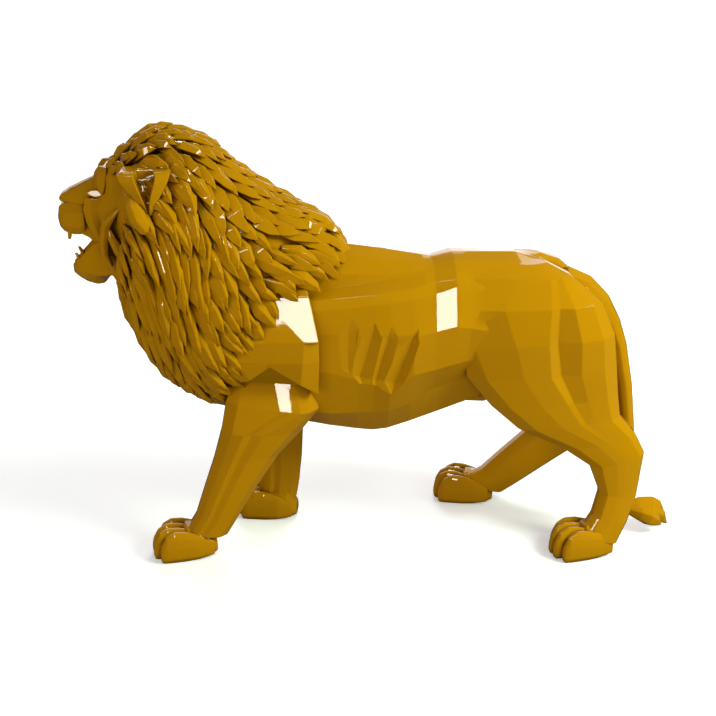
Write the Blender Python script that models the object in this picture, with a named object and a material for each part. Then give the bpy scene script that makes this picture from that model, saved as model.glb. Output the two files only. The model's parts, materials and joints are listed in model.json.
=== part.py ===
"""Walking, roaring lion statue, cast in one piece with flat chiselled facets.

The lion faces -X and stands on four paws at z = 0. Its pose, its proportions and its carving are shares
of its height. Every form is a closed loft, a row of cross-sections with two end caps, and a Boolean
union makes one solid of them all.
"""

import math

import bmesh
import bpy
import numpy as np

STATUE_HEIGHT = 1.00
LACQUER_COLOUR = (0.42, 0.195, 0.006, 1.0)
LACQUER_ROUGHNESS = 0.12

NEAR = -1
FAR = 1

# Every table below is in shares of the height. A trunk line runs from chest to rump, and its rows are
# place along the back, half width and height.
TRUNK_STATIONS = (-0.43, -0.34, -0.24, -0.13, -0.04, 0.05, 0.11, 0.135, 0.165,
                  0.215, 0.28, 0.36, 0.43, 0.49, 0.535)
TRUNK_LINES = {
    "spine": ((-0.43, 0.0, 0.72), (-0.13, 0.0, 0.740), (0.05, 0.0, 0.714), (0.165, 0.0, 0.692),
              (0.215, 0.0, 0.702), (0.36, 0.0, 0.699), (0.43, 0.0, 0.680), (0.535, 0.0, 0.614)),
    "back": ((-0.43, 0.03, 0.700), (-0.13, 0.062, 0.720), (0.05, 0.060, 0.697), (0.135, 0.046, 0.690),
             (0.165, 0.026, 0.688), (0.215, 0.046, 0.696), (0.36, 0.058, 0.686), (0.43, 0.054, 0.660),
             (0.535, 0.036, 0.594)),
    "hollow": ((-0.43, 0.045, 0.63), (-0.13, 0.078, 0.650), (0.05, 0.078, 0.660), (0.135, 0.072, 0.668),
               (0.165, 0.058, 0.682), (0.215, 0.082, 0.680), (0.36, 0.098, 0.656), (0.43, 0.090, 0.632),
               (0.535, 0.060, 0.562)),
    "ridge": ((-0.43, 0.07, 0.61), (-0.13, 0.117, 0.628), (0.05, 0.121, 0.643), (0.135, 0.110, 0.654),
              (0.165, 0.100, 0.662), (0.215, 0.104, 0.670), (0.36, 0.114, 0.620), (0.535, 0.068, 0.540)),
    "rib_top": ((-0.43, 0.072, 0.59), (-0.13, 0.129, 0.606), (0.05, 0.132, 0.622), (0.135, 0.120, 0.630),
                (0.165, 0.1095, 0.636), (0.215, 0.114, 0.655), (0.36, 0.117, 0.590), (0.535, 0.070, 0.520)),
    "loin": ((-0.43, 0.075, 0.56), (-0.13, 0.131, 0.556), (0.05, 0.137, 0.552), (0.110, 0.140, 0.548),
             (0.165, 0.138, 0.555), (0.215, 0.144, 0.570), (0.36, 0.118, 0.540), (0.535, 0.070, 0.480)),
    "flank": ((-0.43, 0.070, 0.48), (-0.24, 0.110, 0.430), (-0.04, 0.124, 0.400), (0.11, 0.128, 0.440),
              (0.165, 0.118, 0.466), (0.215, 0.102, 0.482), (0.36, 0.096, 0.470), (0.535, 0.060, 0.440)),
    "belly_edge": ((-0.43, 0.045, 0.46), (-0.34, 0.070, 0.41), (-0.24, 0.085, 0.368), (-0.04, 0.096, 0.338),
                   (0.05, 0.096, 0.340), (0.165, 0.088, 0.382), (0.245, 0.078, 0.420), (0.36, 0.070, 0.430),
                   (0.535, 0.040, 0.420)),
    "keel_side": ((-0.43, 0.022, 0.44), (-0.34, 0.036, 0.380), (-0.24, 0.045, 0.335), (-0.04, 0.048, 0.292),
                  (0.05, 0.050, 0.282), (0.11, 0.048, 0.300), (0.165, 0.044, 0.318), (0.28, 0.034, 0.356),
                  (0.36, 0.030, 0.396), (0.535, 0.020, 0.410)),
    "keel": ((-0.43, 0.0, 0.435), (-0.34, 0.0, 0.372), (-0.24, 0.0, 0.326), (-0.04, 0.0, 0.284),
             (0.05, 0.0, 0.276), (0.11, 0.0, 0.292), (0.165, 0.0, 0.310), (0.28, 0.0, 0.350),
             (0.36, 0.0, 0.390), (0.535, 0.0, 0.405)),
}
SHEATH_PATH = ((0.180, 0.0, 0.356), (0.240, 0.0, 0.353), (0.300, 0.0, 0.349), (0.330, 0.0, 0.364))
SHEATH_RADII = (0.010, 0.020, 0.020, 0.006)

# A rib's row is the place and height of its crest's top and bottom.
RIBS = (
    (-0.014, 0.580, -0.040, 0.446),
    (0.030, 0.580, -0.004, 0.436),
    (0.072, 0.572, 0.032, 0.424),
    (0.124, 0.566, 0.072, 0.408),
)
# A rib's shape is share of the way down, share of its relief and share of its width.
RIB_SHAPE = ((0.0, -0.30, 0.4), (0.70, 1.0, 1.0), (1.0, -0.30, 0.9))
RIB_RELIEF = 0.014
RIB_SINK = 0.003
RIB_FRONT = 0.022
RIB_REAR = 0.014
RIB_ROOT = 0.030

# A limb's rows are front place and height, rear place and height, middle of its width and half width.
FORELEG_NEAR = (
    (-0.235, 0.505, -0.125, 0.515, 0.080, 0.034),
    (-0.285, 0.445, -0.104, 0.440, 0.084, 0.043),
    (-0.304, 0.385, -0.093, 0.366, 0.088, 0.060),
    (-0.316, 0.318, -0.134, 0.312, 0.090, 0.050),
    (-0.336, 0.245, -0.188, 0.252, 0.092, 0.042),
    (-0.362, 0.168, -0.240, 0.172, 0.094, 0.038),
    (-0.383, 0.104, -0.280, 0.104, 0.096, 0.036),
    (-0.410, 0.060, -0.312, 0.050, 0.098, 0.036),
)
FORELEG_FAR = (
    (-0.225, 0.505, -0.115, 0.515, 0.080, 0.034),
    (-0.262, 0.445, -0.100, 0.440, 0.084, 0.043),
    (-0.262, 0.385, -0.093, 0.366, 0.088, 0.060),
    (-0.254, 0.318, -0.112, 0.300, 0.090, 0.050),
    (-0.246, 0.245, -0.127, 0.235, 0.092, 0.042),
    (-0.240, 0.168, -0.131, 0.160, 0.094, 0.038),
    (-0.238, 0.104, -0.138, 0.094, 0.095, 0.036),
    (-0.240, 0.060, -0.146, 0.046, 0.095, 0.036),
)
# A limb's profile, by the row it belongs to, is share of the way from front to rear and share of the
# half width.
FORELEG_PROFILES = {
    0: ((0.0, 0.30), (0.13, 0.78), (0.34, 0.96), (0.50, 1.0), (0.66, 1.0), (0.86, 0.82), (1.0, 0.30)),
    3: ((0.0, 0.30), (0.13, 0.78), (0.28, 1.0), (0.38, 0.84), (0.52, 1.0), (0.84, 0.80), (1.0, 0.30)),
}

SHOULDER = (
    (-0.230, 0.705, -0.130, 0.690, 0.050, 0.036),
    (-0.300, 0.640, -0.106, 0.642, 0.080, 0.044),
    (-0.330, 0.545, -0.087, 0.548, 0.088, 0.072),
    (-0.322, 0.496, -0.086, 0.498, 0.088, 0.070),
    (-0.290, 0.428, -0.090, 0.408, 0.086, 0.064),
)
SHOULDER_PROFILES = {0: ((0.0, 0.20), (0.20, 0.84), (0.45, 0.94), (0.60, 1.0), (0.93, 1.08), (1.0, 0.40))}
# The shoulder's lower edge is a steep arch over the top of the foreleg, one lift for each profile point.
SHOULDER_ARCH = (0.0, 0.028, 0.064, 0.048, 0.008, 0.0)

HINDLEG_NEAR = (
    (0.262, 0.684, 0.410, 0.682, 0.036, 0.026),
    (0.226, 0.668, 0.452, 0.660, 0.060, 0.045),
    (0.222, 0.600, 0.524, 0.600, 0.074, 0.062),
    (0.230, 0.510, 0.562, 0.530, 0.076, 0.070),
    (0.246, 0.430, 0.576, 0.452, 0.080, 0.066),
    (0.302, 0.362, 0.586, 0.386, 0.088, 0.058),
    (0.366, 0.306, 0.600, 0.336, 0.098, 0.050),
    (0.470, 0.258, 0.638, 0.292, 0.108, 0.042),
    (0.536, 0.214, 0.660, 0.248, 0.118, 0.037),
    (0.559, 0.152, 0.646, 0.142, 0.130, 0.035),
    (0.543, 0.098, 0.626, 0.082, 0.142, 0.035),
    (0.515, 0.054, 0.602, 0.030, 0.150, 0.036),
)
HINDLEG_FAR = (
    (0.262, 0.684, 0.410, 0.682, 0.036, 0.026),
    (0.226, 0.668, 0.452, 0.660, 0.060, 0.045),
    (0.220, 0.600, 0.520, 0.600, 0.074, 0.062),
    (0.220, 0.510, 0.552, 0.530, 0.076, 0.070),
    (0.232, 0.438, 0.556, 0.452, 0.080, 0.066),
    (0.272, 0.372, 0.552, 0.380, 0.088, 0.060),
    (0.345, 0.305, 0.566, 0.310, 0.096, 0.050),
    (0.420, 0.240, 0.588, 0.240, 0.104, 0.042),
    (0.428, 0.200, 0.572, 0.172, 0.112, 0.038),
    (0.372, 0.142, 0.480, 0.102, 0.122, 0.036),
    (0.322, 0.088, 0.420, 0.055, 0.130, 0.035),
    (0.268, 0.052, 0.378, 0.024, 0.136, 0.036),
)
HINDLEG_PROFILES = {
    0: ((0.0, 0.30), (0.10, 0.80), (0.50, 0.98), (0.82, 1.0), (0.89, 0.86), (0.95, 0.64), (1.0, 0.30)),
    1: ((0.0, 0.30), (0.10, 0.80), (0.50, 0.98), (0.86, 1.0), (0.91, 0.86), (0.96, 0.62), (1.0, 0.30)),
    2: ((0.0, 0.30), (0.05, 0.74), (0.36, 0.98), (0.67, 1.0), (0.80, 0.80), (0.90, 0.70), (1.0, 0.30)),
    3: ((0.0, 0.30), (0.08, 0.62), (0.34, 0.98), (0.55, 1.0), (0.66, 0.76), (0.86, 0.92), (1.0, 0.36)),
    4: ((0.0, 0.30), (0.12, 0.80), (0.36, 1.0), (0.60, 0.99), (0.70, 0.78), (0.87, 0.94), (1.0, 0.38)),
    5: ((0.0, 0.30), (0.14, 0.86), (0.38, 1.0), (0.62, 0.99), (0.72, 0.88), (0.88, 0.95), (1.0, 0.40)),
    7: ((0.0, 0.34), (0.18, 0.88), (0.45, 1.0), (0.60, 0.99), (0.74, 0.92), (0.90, 0.86), (1.0, 0.44)),
}
INNER_SIDE_FULLNESS = 0.90

# A paw's row is its side, its toe tip's place, its middle's distance from the mid-plane and its splay in
# degrees. A toe's and a heel's rows are shares of the paw's length, width and height.
PAWS = (
    (NEAR, -0.488, 0.098, 10.0),
    (FAR, -0.294, 0.095, 8.0),
    (NEAR, 0.446, 0.150, 12.0),
    (FAR, 0.206, 0.150, 12.0),
)
PAW_LENGTH = 0.150
PAW_WIDTH = 0.100
PAW_HEIGHT = 0.076
TOE_COUNT = 4
TOE_OVERLAP = 1.20
TOE_STAGGER = 0.10
TOE_ROWS = ((0.0, 0.30, 0.12, 0.30), (0.031, 0.72, 0.0, 0.52), (0.136, 1.0, 0.0, 0.80),
            (0.341, 1.0, 0.0, 0.92), (0.620, 0.90, 0.0, 0.86))
HEEL_ROWS = ((0.34, 0.80, 0.0, 0.62), (0.50, 0.88, 0.0, 1.02), (0.86, 0.74, 0.0, 0.96),
             (1.01, 0.44, 0.06, 0.46))
PAW_SECTION = ((-0.80, 0.0), (-1.0, 0.14), (-1.0, 0.62), (-0.48, 1.0), (0.48, 1.0), (1.0, 0.62),
               (1.0, 0.14), (0.80, 0.0))

# The mane's own lines, from the face to the withers and from the throat to the chest.
MANE_TOP = ((-0.556, 0.908), (-0.534, 0.934), (-0.496, 0.968), (-0.455, 0.992), (-0.410, 1.000),
            (-0.358, 0.986), (-0.308, 0.956), (-0.255, 0.906), (-0.171, 0.848), (-0.083, 0.802),
            (-0.040, 0.762), (-0.014, 0.712))
MANE_BOTTOM = ((-0.530, 0.672), (-0.524, 0.610), (-0.500, 0.535), (-0.476, 0.480), (-0.440, 0.425),
               (-0.395, 0.380), (-0.345, 0.354), (-0.290, 0.346))
MANE_HALF_WIDTH = ((0.0, 0.094), (0.10, 0.138), (0.25, 0.180), (0.42, 0.202), (0.60, 0.198),
                   (0.80, 0.170), (1.0, 0.110))
MANE_CROWN_FULLNESS = 0.90
MANE_SIDE_FULLNESS = 0.75
MANE_SIDE_RECESS = 0.17
MANE_DROOP = 0.55
MANE_ROWS = 16
MANE_LOCKS_PER_ROW = 28
MANE_LOCK_RELIEF = 0.016
MANE_LOCK_OVERHANG = 0.10
MANE_LOCK_JITTER = 0.15
MANE_CREST_PLACE = 0.55
MANE_SEED = 11

TAIL_THICKNESS = 0.030
TAIL_PATH = ((0.500, 0.0, 0.640), (0.545, 0.0, 0.612), (0.580, 0.0, 0.575), (0.604, -0.003, 0.525),
             (0.620, -0.008, 0.470), (0.637, -0.016, 0.370), (0.647, -0.026, 0.270),
             (0.654, -0.036, 0.170), (0.655, -0.043, 0.100), (0.662, -0.045, 0.062))
TUFT_LOCKS = (
    ((0.652, -0.045, 0.058), (0.682, -0.047, 0.054), (0.712, -0.048, 0.047), (0.738, -0.046, 0.034),
     (0.757, -0.044, 0.010)),
    ((0.656, -0.040, 0.060), (0.690, -0.034, 0.060), (0.716, -0.032, 0.056), (0.734, -0.032, 0.050),
     (0.750, -0.032, 0.040)),
    ((0.656, -0.055, 0.056), (0.684, -0.064, 0.050), (0.704, -0.068, 0.043), (0.720, -0.070, 0.034),
     (0.736, -0.070, 0.022)),
)
TUFT_RADII = (0.012, 0.020, 0.023, 0.018, 0.003)
ROUND_CORNERS = 8
LOCK_CORNERS = 6

# The skull and the jaw have lines of their own, from the neck to the lips.
SKULL_STATIONS = (-0.42, -0.51, -0.545, -0.562, -0.578, -0.600, -0.628, -0.648, -0.657)
SKULL_LINES = {
    "crown": ((-0.42, 0.0, 0.930), (-0.545, 0.0, 0.922), (-0.562, 0.0, 0.904), (-0.578, 0.0, 0.890),
              (-0.628, 0.0, 0.868), (-0.648, 0.0, 0.850), (-0.657, 0.0, 0.815)),
    "brow": ((-0.42, 0.050, 0.920), (-0.545, 0.050, 0.912), (-0.562, 0.046, 0.900), (-0.578, 0.022, 0.884),
             (-0.628, 0.020, 0.864), (-0.648, 0.018, 0.848), (-0.657, 0.010, 0.815)),
    "eye": ((-0.42, 0.095, 0.870), (-0.510, 0.080, 0.880), (-0.545, 0.060, 0.868), (-0.562, 0.042, 0.866),
            (-0.600, 0.028, 0.852), (-0.648, 0.024, 0.832), (-0.657, 0.014, 0.812)),
    "cheekbone": ((-0.42, 0.105, 0.830), (-0.545, 0.078, 0.838), (-0.578, 0.054, 0.836),
                  (-0.600, 0.042, 0.828), (-0.648, 0.032, 0.818), (-0.657, 0.018, 0.808)),
    "cheek": ((-0.42, 0.110, 0.790), (-0.545, 0.082, 0.796), (-0.578, 0.058, 0.796), (-0.628, 0.049, 0.794),
              (-0.648, 0.040, 0.794), (-0.657, 0.020, 0.800)),
    "lip": ((-0.42, 0.095, 0.735), (-0.545, 0.072, 0.738), (-0.586, 0.054, 0.750), (-0.610, 0.048, 0.764),
            (-0.640, 0.036, 0.768), (-0.648, 0.030, 0.774), (-0.657, 0.016, 0.792)),
    "palate": ((-0.42, 0.0, 0.740), (-0.545, 0.0, 0.750), (-0.578, 0.0, 0.768), (-0.628, 0.0, 0.780),
               (-0.648, 0.0, 0.784), (-0.657, 0.0, 0.794)),
}
JAW_STATIONS = (-0.42, -0.51, -0.556, -0.574, -0.592, -0.612, -0.634)
JAW_LINES = {
    "tongue": ((-0.42, 0.0, 0.735), (-0.51, 0.0, 0.726), (-0.592, 0.0, 0.690), (-0.634, 0.0, 0.682)),
    "gum": ((-0.42, 0.095, 0.770), (-0.51, 0.080, 0.764), (-0.574, 0.052, 0.742), (-0.592, 0.043, 0.722),
            (-0.612, 0.034, 0.702), (-0.634, 0.014, 0.688)),
    "jaw_side": ((-0.42, 0.095, 0.700), (-0.51, 0.078, 0.698), (-0.574, 0.052, 0.690),
                 (-0.612, 0.035, 0.676), (-0.634, 0.016, 0.676)),
    "chin": ((-0.42, 0.040, 0.662), (-0.556, 0.032, 0.666), (-0.574, 0.030, 0.648), (-0.612, 0.024, 0.654),
             (-0.634, 0.010, 0.670)),
    "chin_mid": ((-0.42, 0.0, 0.655), (-0.556, 0.0, 0.660), (-0.574, 0.0, 0.642), (-0.612, 0.0, 0.648),
                 (-0.634, 0.0, 0.668)),
}

BROW_PATH = ((-0.532, 0.064, 0.898), (-0.556, 0.054, 0.904), (-0.570, 0.044, 0.902), (-0.582, 0.030, 0.886))
BROW_RADII = (0.005, 0.012, 0.011, 0.004)

# An ear's rows are its rim's place, distance from the mid-plane and height, its half width, and the half
# width and the depth of its hollow.
EAR = ((-0.449, 0.172, 0.838, 0.010, 0.002, 0.004), (-0.454, 0.176, 0.862, 0.024, 0.009, 0.016),
       (-0.458, 0.174, 0.890, 0.038, 0.018, 0.030), (-0.459, 0.164, 0.916, 0.040, 0.020, 0.028),
       (-0.459, 0.150, 0.936, 0.022, 0.006, 0.010))
EAR_WALL = 0.014
EAR_CORNERS = 6
EAR_LOCK_PATH = ((-0.480, 0.150, 0.884), (-0.484, 0.166, 0.856), (-0.472, 0.174, 0.822),
                 (-0.446, 0.166, 0.794))
EAR_LOCK_RADII = (0.008, 0.021, 0.018, 0.003)

# A tooth's row is its root and its tip. Its shape is share of its length and radius.
TEETH = (
    ((-0.632, 0.026, 0.778), (-0.637, 0.026, 0.752)),
    ((-0.622, 0.022, 0.690), (-0.628, 0.022, 0.722)),
    ((-0.602, 0.030, 0.702), (-0.611, 0.030, 0.736)),
)
TOOTH_SHAPE = ((0.0, 0.0070), (0.45, 0.0056), (1.0, 0.0012))


def clear_scene():
    for old in list(bpy.data.objects):
        bpy.data.objects.remove(old, do_unlink=True)


def lacquer():
    material = bpy.data.materials.new("gold_lacquer")
    material.use_nodes = True
    shader = material.node_tree.nodes["Principled BSDF"]
    shader.inputs["Base Color"].default_value = LACQUER_COLOUR
    shader.inputs["Roughness"].default_value = LACQUER_ROUGHNESS
    shader.inputs["Metallic"].default_value = 0.0
    return material


def body_of(name, points, faces):
    """An object of these points, in shares of the height, with triangles that face outwards."""
    mesh = bpy.data.meshes.new(name)
    mesh.from_pydata((np.asarray(points) * STATUE_HEIGHT).tolist(), [], faces)
    shape = bmesh.new()
    shape.from_mesh(mesh)
    bmesh.ops.triangulate(shape, faces=shape.faces[:])
    bmesh.ops.recalc_face_normals(shape, faces=shape.faces[:])
    shape.to_mesh(mesh)
    shape.free()
    body = bpy.data.objects.new(name, mesh)
    bpy.context.collection.objects.link(body)
    return body


def loft(name, rings):
    """A closed body: quads between neighbouring rings and one cap on each end ring."""
    rings = np.asarray(rings)
    count, corners = rings.shape[:2]
    ring = np.arange(corners)
    following = (ring + 1) % corners
    start = np.arange(count - 1)[:, None] * corners
    onward = start + corners
    quads = np.stack((start + ring, start + following, onward + following, onward + ring), -1)
    faces = quads.reshape(-1, 4).tolist()
    faces.append(ring[::-1].tolist())
    faces.append((ring + (count - 1) * corners).tolist())
    return body_of(name, rings.reshape(-1, 3), faces)


def lined_loft(name, stations, lines):
    """A loft whose rings have one corner on each line, mirrored over the mid-plane."""
    stations = np.array(stations)
    half = []
    for knots in lines.values():
        place, width, height = np.array(sorted(knots)).T
        widths = np.interp(stations, place, width)
        heights = np.interp(stations, place, height)
        half.append(np.stack((stations, widths, heights), -1))
    far = np.stack(half, 1)
    near = far[:, -2:0:-1] * (1, -1, 1)
    return loft(name, np.concatenate((far, near), 1))


def tube(name, path, radii, corners):
    """Round rings about a path, square to its course as seen from the side."""
    path = np.array(path)
    radii = np.array(radii)[:, None]
    course = np.gradient(path[:, (0, 2)], axis=0)
    course /= np.linalg.norm(course, axis=1)[:, None]
    turn = np.linspace(0.0, 2 * math.pi, corners, endpoint=False)
    x = path[:, 0:1] - course[:, 1:2] * radii * np.cos(turn)
    y = path[:, 1:2] + radii * np.sin(turn)
    z = path[:, 2:3] + course[:, 0:1] * radii * np.cos(turn)
    return loft(name, np.stack((x, y, z), -1))


def trunk_half_width(place, height):
    """Half width of the trunk at a place along it and a height, read from the trunk's lines."""
    heights = []
    widths = []
    for knots in TRUNK_LINES.values():
        along, width, rise = np.array(knots).T
        heights.append(np.interp(place, along, rise))
        widths.append(np.interp(place, along, width))
    return np.interp(height, heights[::-1], widths[::-1])


def rib(row, side):
    """A slanting ridge that rises from the trunk's skin in its middle and dives into it at both ends."""
    top_x, top_z, bottom_x, bottom_z = row
    rings = []
    for share, rise, wide in RIB_SHAPE:
        x = top_x + (bottom_x - top_x) * share
        z = top_z + (bottom_z - top_z) * share
        skin = trunk_half_width(x, z)
        edge = skin - RIB_SINK
        crest = skin + RIB_RELIEF * rise
        front = x - RIB_FRONT * wide
        rear = x + RIB_REAR * wide
        corners = ((front, edge), (x, crest), (rear, edge), (x, skin - RIB_ROOT))
        rings.append([(along, side * out, z) for along, out in corners])
    return loft("rib", rings)


def limb(name, rows, profiles, side, arch=None):
    """Rings from hip or shoulder to paw: the profile runs front to rear outside and back again inside.

    The profiles belong to some rows, by number, and the rows between them have a blend of two. An arch
    lifts the last ring, by a height for each point of its profile.
    """
    front_x, front_z, rear_x, rear_z, middle, half = np.array(rows).T[:, :, None]
    shapes = np.array(list(profiles.values()))
    place = np.interp(np.arange(len(rows)), list(profiles), np.arange(len(profiles)))
    before = np.floor(place).astype(int)
    after = np.ceil(place).astype(int)
    shape = shapes[before] + (shapes[after] - shapes[before]) * (place - before)[:, None, None]
    along = np.concatenate((shape[..., 0], shape[:, ::-1, 0]), 1)
    out = np.concatenate((shape[..., 1], -INNER_SIDE_FULLNESS * shape[:, ::-1, 1]), 1)
    x = front_x + (rear_x - front_x) * along
    z = front_z + (rear_z - front_z) * along
    y = side * (middle + half * out)
    if arch:
        z[-1] += arch + arch[::-1]
    return loft(name, np.stack((x, y, z), -1))


def paw_part(name, rows, paw, sideways, half_width, stagger):
    """Rings of the paw's section, turned outwards by the paw's splay: a toe or the heel."""
    side, tip, middle, splay = paw
    turn = math.radians(splay)
    along, wide, floor, top = np.array(rows).T[:, :, None]
    out, rise = np.array(PAW_SECTION).T
    back = (along + stagger) * PAW_LENGTH + 0 * out
    outward = sideways + wide * half_width * out
    x = tip + back * math.cos(turn) + outward * math.sin(turn)
    y = middle + outward * math.cos(turn) + (PAW_LENGTH / 2 - back) * math.sin(turn)
    z = (floor + (top - floor) * rise) * PAW_HEIGHT
    return loft(name, np.stack((x, side * y, z), -1))


def paw_parts(paw):
    """Toes side by side, the outer ones set back, and the heel behind them."""
    toe_half = PAW_WIDTH / TOE_COUNT / 2 * TOE_OVERLAP
    reach = PAW_WIDTH / 2 - toe_half
    parts = []
    for share in np.linspace(-1.0, 1.0, TOE_COUNT):
        stagger = TOE_STAGGER * share * share
        parts.append(paw_part("toe", TOE_ROWS, paw, share * reach, toe_half, stagger))
    parts.append(paw_part("heel", HEEL_ROWS, paw, 0.0, PAW_WIDTH / 2, 0.0))
    return parts


def even_line(knots, shares):
    """Points of a polyline at shares of its length."""
    knots = np.array(knots)
    steps = np.linalg.norm(np.diff(knots, axis=0), axis=1)
    length = np.concatenate(((0.0,), np.cumsum(steps)))
    return np.stack([np.interp(shares, length / length[-1], column) for column in knots.T], -1)


def mane_surface(angle, share):
    """The mane's skin: slanting ovals between its top line and its bottom line, as wide as its half width.

    It lies within those lines by the relief of its locks, and its sides end before its top and bottom do.
    """
    share = share * (1 - MANE_SIDE_RECESS * np.sin(angle) ** 2)
    top = even_line(MANE_TOP, share)
    bottom = even_line(MANE_BOTTOM, share)
    place, half = np.array(MANE_HALF_WIDTH).T
    middle = (top + bottom) / 2
    reach = (top - bottom) / 2
    reach = reach * (1 - MANE_LOCK_RELIEF / np.linalg.norm(reach, axis=-1, keepdims=True))
    up = np.sign(np.cos(angle)) * np.abs(np.cos(angle)) ** MANE_CROWN_FULLNESS
    out = np.sign(np.sin(angle)) * np.abs(np.sin(angle)) ** MANE_SIDE_FULLNESS
    x = middle[..., 0] + reach[..., 0] * up
    z = middle[..., 1] + reach[..., 1] * up
    return np.stack((x, (np.interp(share, place, half) - MANE_LOCK_RELIEF) * out, z), -1)


def mane_normals(angle, share):
    """Square to the skin and outwards, from its slopes along and around."""
    step = 0.02
    onward = mane_surface(angle, share + step) - mane_surface(angle, share - step)
    around = mane_surface(angle + step, share) - mane_surface(angle - step, share)
    normal = np.cross(onward, around)
    return normal / np.maximum(np.linalg.norm(normal, axis=-1, keepdims=True), 1e-9)


def mane():
    """A closed skin of kite-shaped locks in staggered rows, tips lying over the roots further on.

    The skin's nodes are a staggered lattice. A lock's root is a node of one row, its sides are the two
    nearest nodes of the next row, and its tip hangs over the node of the row after that. Each lock is
    two upper facets on either side of its crest, two lower facets, and two steps below its tip.
    """
    draw = np.random.default_rng(MANE_SEED)
    row, column = np.indices((MANE_ROWS + 1, MANE_LOCKS_PER_ROW))
    inside = (row > 0) & (row < MANE_ROWS)
    row_shift = inside * draw.uniform(-MANE_LOCK_JITTER, MANE_LOCK_JITTER, row.shape)
    turn_shift = inside * draw.uniform(-MANE_LOCK_JITTER, MANE_LOCK_JITTER, row.shape)
    shares = (row + row_shift) / MANE_ROWS
    angles = 2 * math.pi * (column + 0.5 * (row % 2) + turn_shift) / MANE_LOCKS_PER_ROW
    angles = angles + MANE_DROOP * shares * np.sin(angles)
    nodes = mane_surface(angles, shares)
    relief = mane_normals(angles, shares) * MANE_LOCK_RELIEF
    tips = nodes[2:] + (nodes[2:] - nodes[:-2]) * MANE_LOCK_OVERHANG + relief[2:]
    crests = nodes[:-2] + (nodes[2:] - nodes[:-2]) * MANE_CREST_PLACE + relief[:-2]

    def node(across, along):
        return across * MANE_LOCKS_PER_ROW + along % MANE_LOCKS_PER_ROW

    shift = row % 2
    root = node(row, column)[:-2]
    left = node(row + 1, column - 1 + shift)[:-2]
    right = node(row + 1, column + shift)[:-2]
    end = node(row + 2, column)[:-2]
    tip = root + row.size
    crest = tip + root.size
    first = (node(row, column)[0], node(row, column + 1)[0], node(row + 1, column + shift)[0])
    last = (node(row, column)[-1], node(row - 1, column + shift)[-1], node(row, column + 1)[-1])
    corners = ((root, crest, left), (root, right, crest), (left, crest, tip), (right, tip, crest),
               (left, tip, end), (right, end, tip), first, last)
    faces = np.concatenate([np.stack(three, -1).reshape(-1, 3) for three in corners]).tolist()
    faces.append(node(row, column)[0][::-1].tolist())
    faces.append(node(row, column)[-1].tolist())
    points = np.concatenate([block.reshape(-1, 3) for block in (nodes, tips, crests)])
    return body_of("mane", points, faces)


def tail():
    """A rope from the rump to the ground and the locks of its tuft."""
    radii = (TAIL_THICKNESS / 2,) * len(TAIL_PATH)
    locks = [tube("tuft_lock", path, TUFT_RADII, LOCK_CORNERS) for path in TUFT_LOCKS]
    return [tube("tail", TAIL_PATH, radii, ROUND_CORNERS)] + locks


def ear(side):
    """A cup that opens outwards: each ring is an outer half oval and, inside its wall, an inner one."""
    place, rim, height, half, hollow, depth = np.array(EAR).T[:, :, None]
    turn = np.linspace(0.0, math.pi, EAR_CORNERS)
    outer_x = place + half * np.cos(turn)
    outer_y = rim - (depth + EAR_WALL) * np.sin(turn)
    inner_x = place + hollow * np.cos(turn[::-1])
    inner_y = rim - depth * np.sin(turn[::-1])
    x = np.concatenate((outer_x, inner_x), 1)
    y = np.concatenate((outer_y, inner_y), 1)
    return loft("ear", np.stack((x, side * y, height + 0 * x), -1))


def tooth(root, tip):
    """A cone with a slightly full middle."""
    turn = np.linspace(0.0, 2 * math.pi, LOCK_CORNERS, endpoint=False)
    circle = np.stack((np.cos(turn), np.sin(turn), 0 * turn), -1)
    share, radius = np.array(TOOTH_SHAPE).T[:, :, None]
    places = root + (tip - root) * share
    return loft("tooth", places[:, None] + circle * radius[:, None])


def head():
    """Skull and jaw, and on each side a brow, an ear with the lock below it, and the teeth."""
    pieces = [lined_loft("skull", SKULL_STATIONS, SKULL_LINES), lined_loft("jaw", JAW_STATIONS, JAW_LINES)]
    for side in (NEAR, FAR):
        mirror = np.array((1, side, 1))
        pieces.append(tube("brow", BROW_PATH * mirror, BROW_RADII, LOCK_CORNERS))
        pieces.append(tube("ear_lock", EAR_LOCK_PATH * mirror, EAR_LOCK_RADII, LOCK_CORNERS))
        pieces.append(ear(side))
        for root, tip in TEETH:
            pieces.append(tooth(root * mirror, tip * mirror))
    return pieces


def unite(name, pieces):
    """One solid of all the pieces. The exact solver leaves edges of four faces where locks touch."""
    whole = pieces[0]
    whole.name = name
    others = bpy.data.collections.new("parts_of_" + name)
    bpy.context.scene.collection.children.link(others)
    for piece in pieces[1:]:
        bpy.context.collection.objects.unlink(piece)
        others.objects.link(piece)
    union = whole.modifiers.new("union", "BOOLEAN")
    union.operation = "UNION"
    union.operand_type = "COLLECTION"
    union.collection = others
    union.solver = "MANIFOLD"
    bpy.context.view_layer.update()
    graph = bpy.context.evaluated_depsgraph_get()
    mesh = bpy.data.meshes.new_from_object(whole.evaluated_get(graph))
    whole.modifiers.clear()
    whole.data = mesh
    for piece in list(others.objects):
        bpy.data.objects.remove(piece, do_unlink=True)
    bpy.data.collections.remove(others)
    return whole


def fill_pockets(body):
    """Keeps the outer skin alone, so that the small pockets behind ears and locks are filled."""
    shape = bmesh.new()
    shape.from_mesh(body.data)
    skins = []
    waiting = set(shape.faces)
    while waiting:
        skin = {waiting.pop()}
        front = list(skin)
        while front:
            around = {face for edge in front.pop().edges for face in edge.link_faces} & waiting
            waiting -= around
            skin |= around
            front.extend(around)
        skins.append(skin)
    outer = max(skins, key=len)
    pockets = [face for skin in skins if skin is not outer for face in skin]
    bmesh.ops.delete(shape, geom=pockets, context="FACES")
    shape.to_mesh(body.data)
    shape.free()


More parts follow.
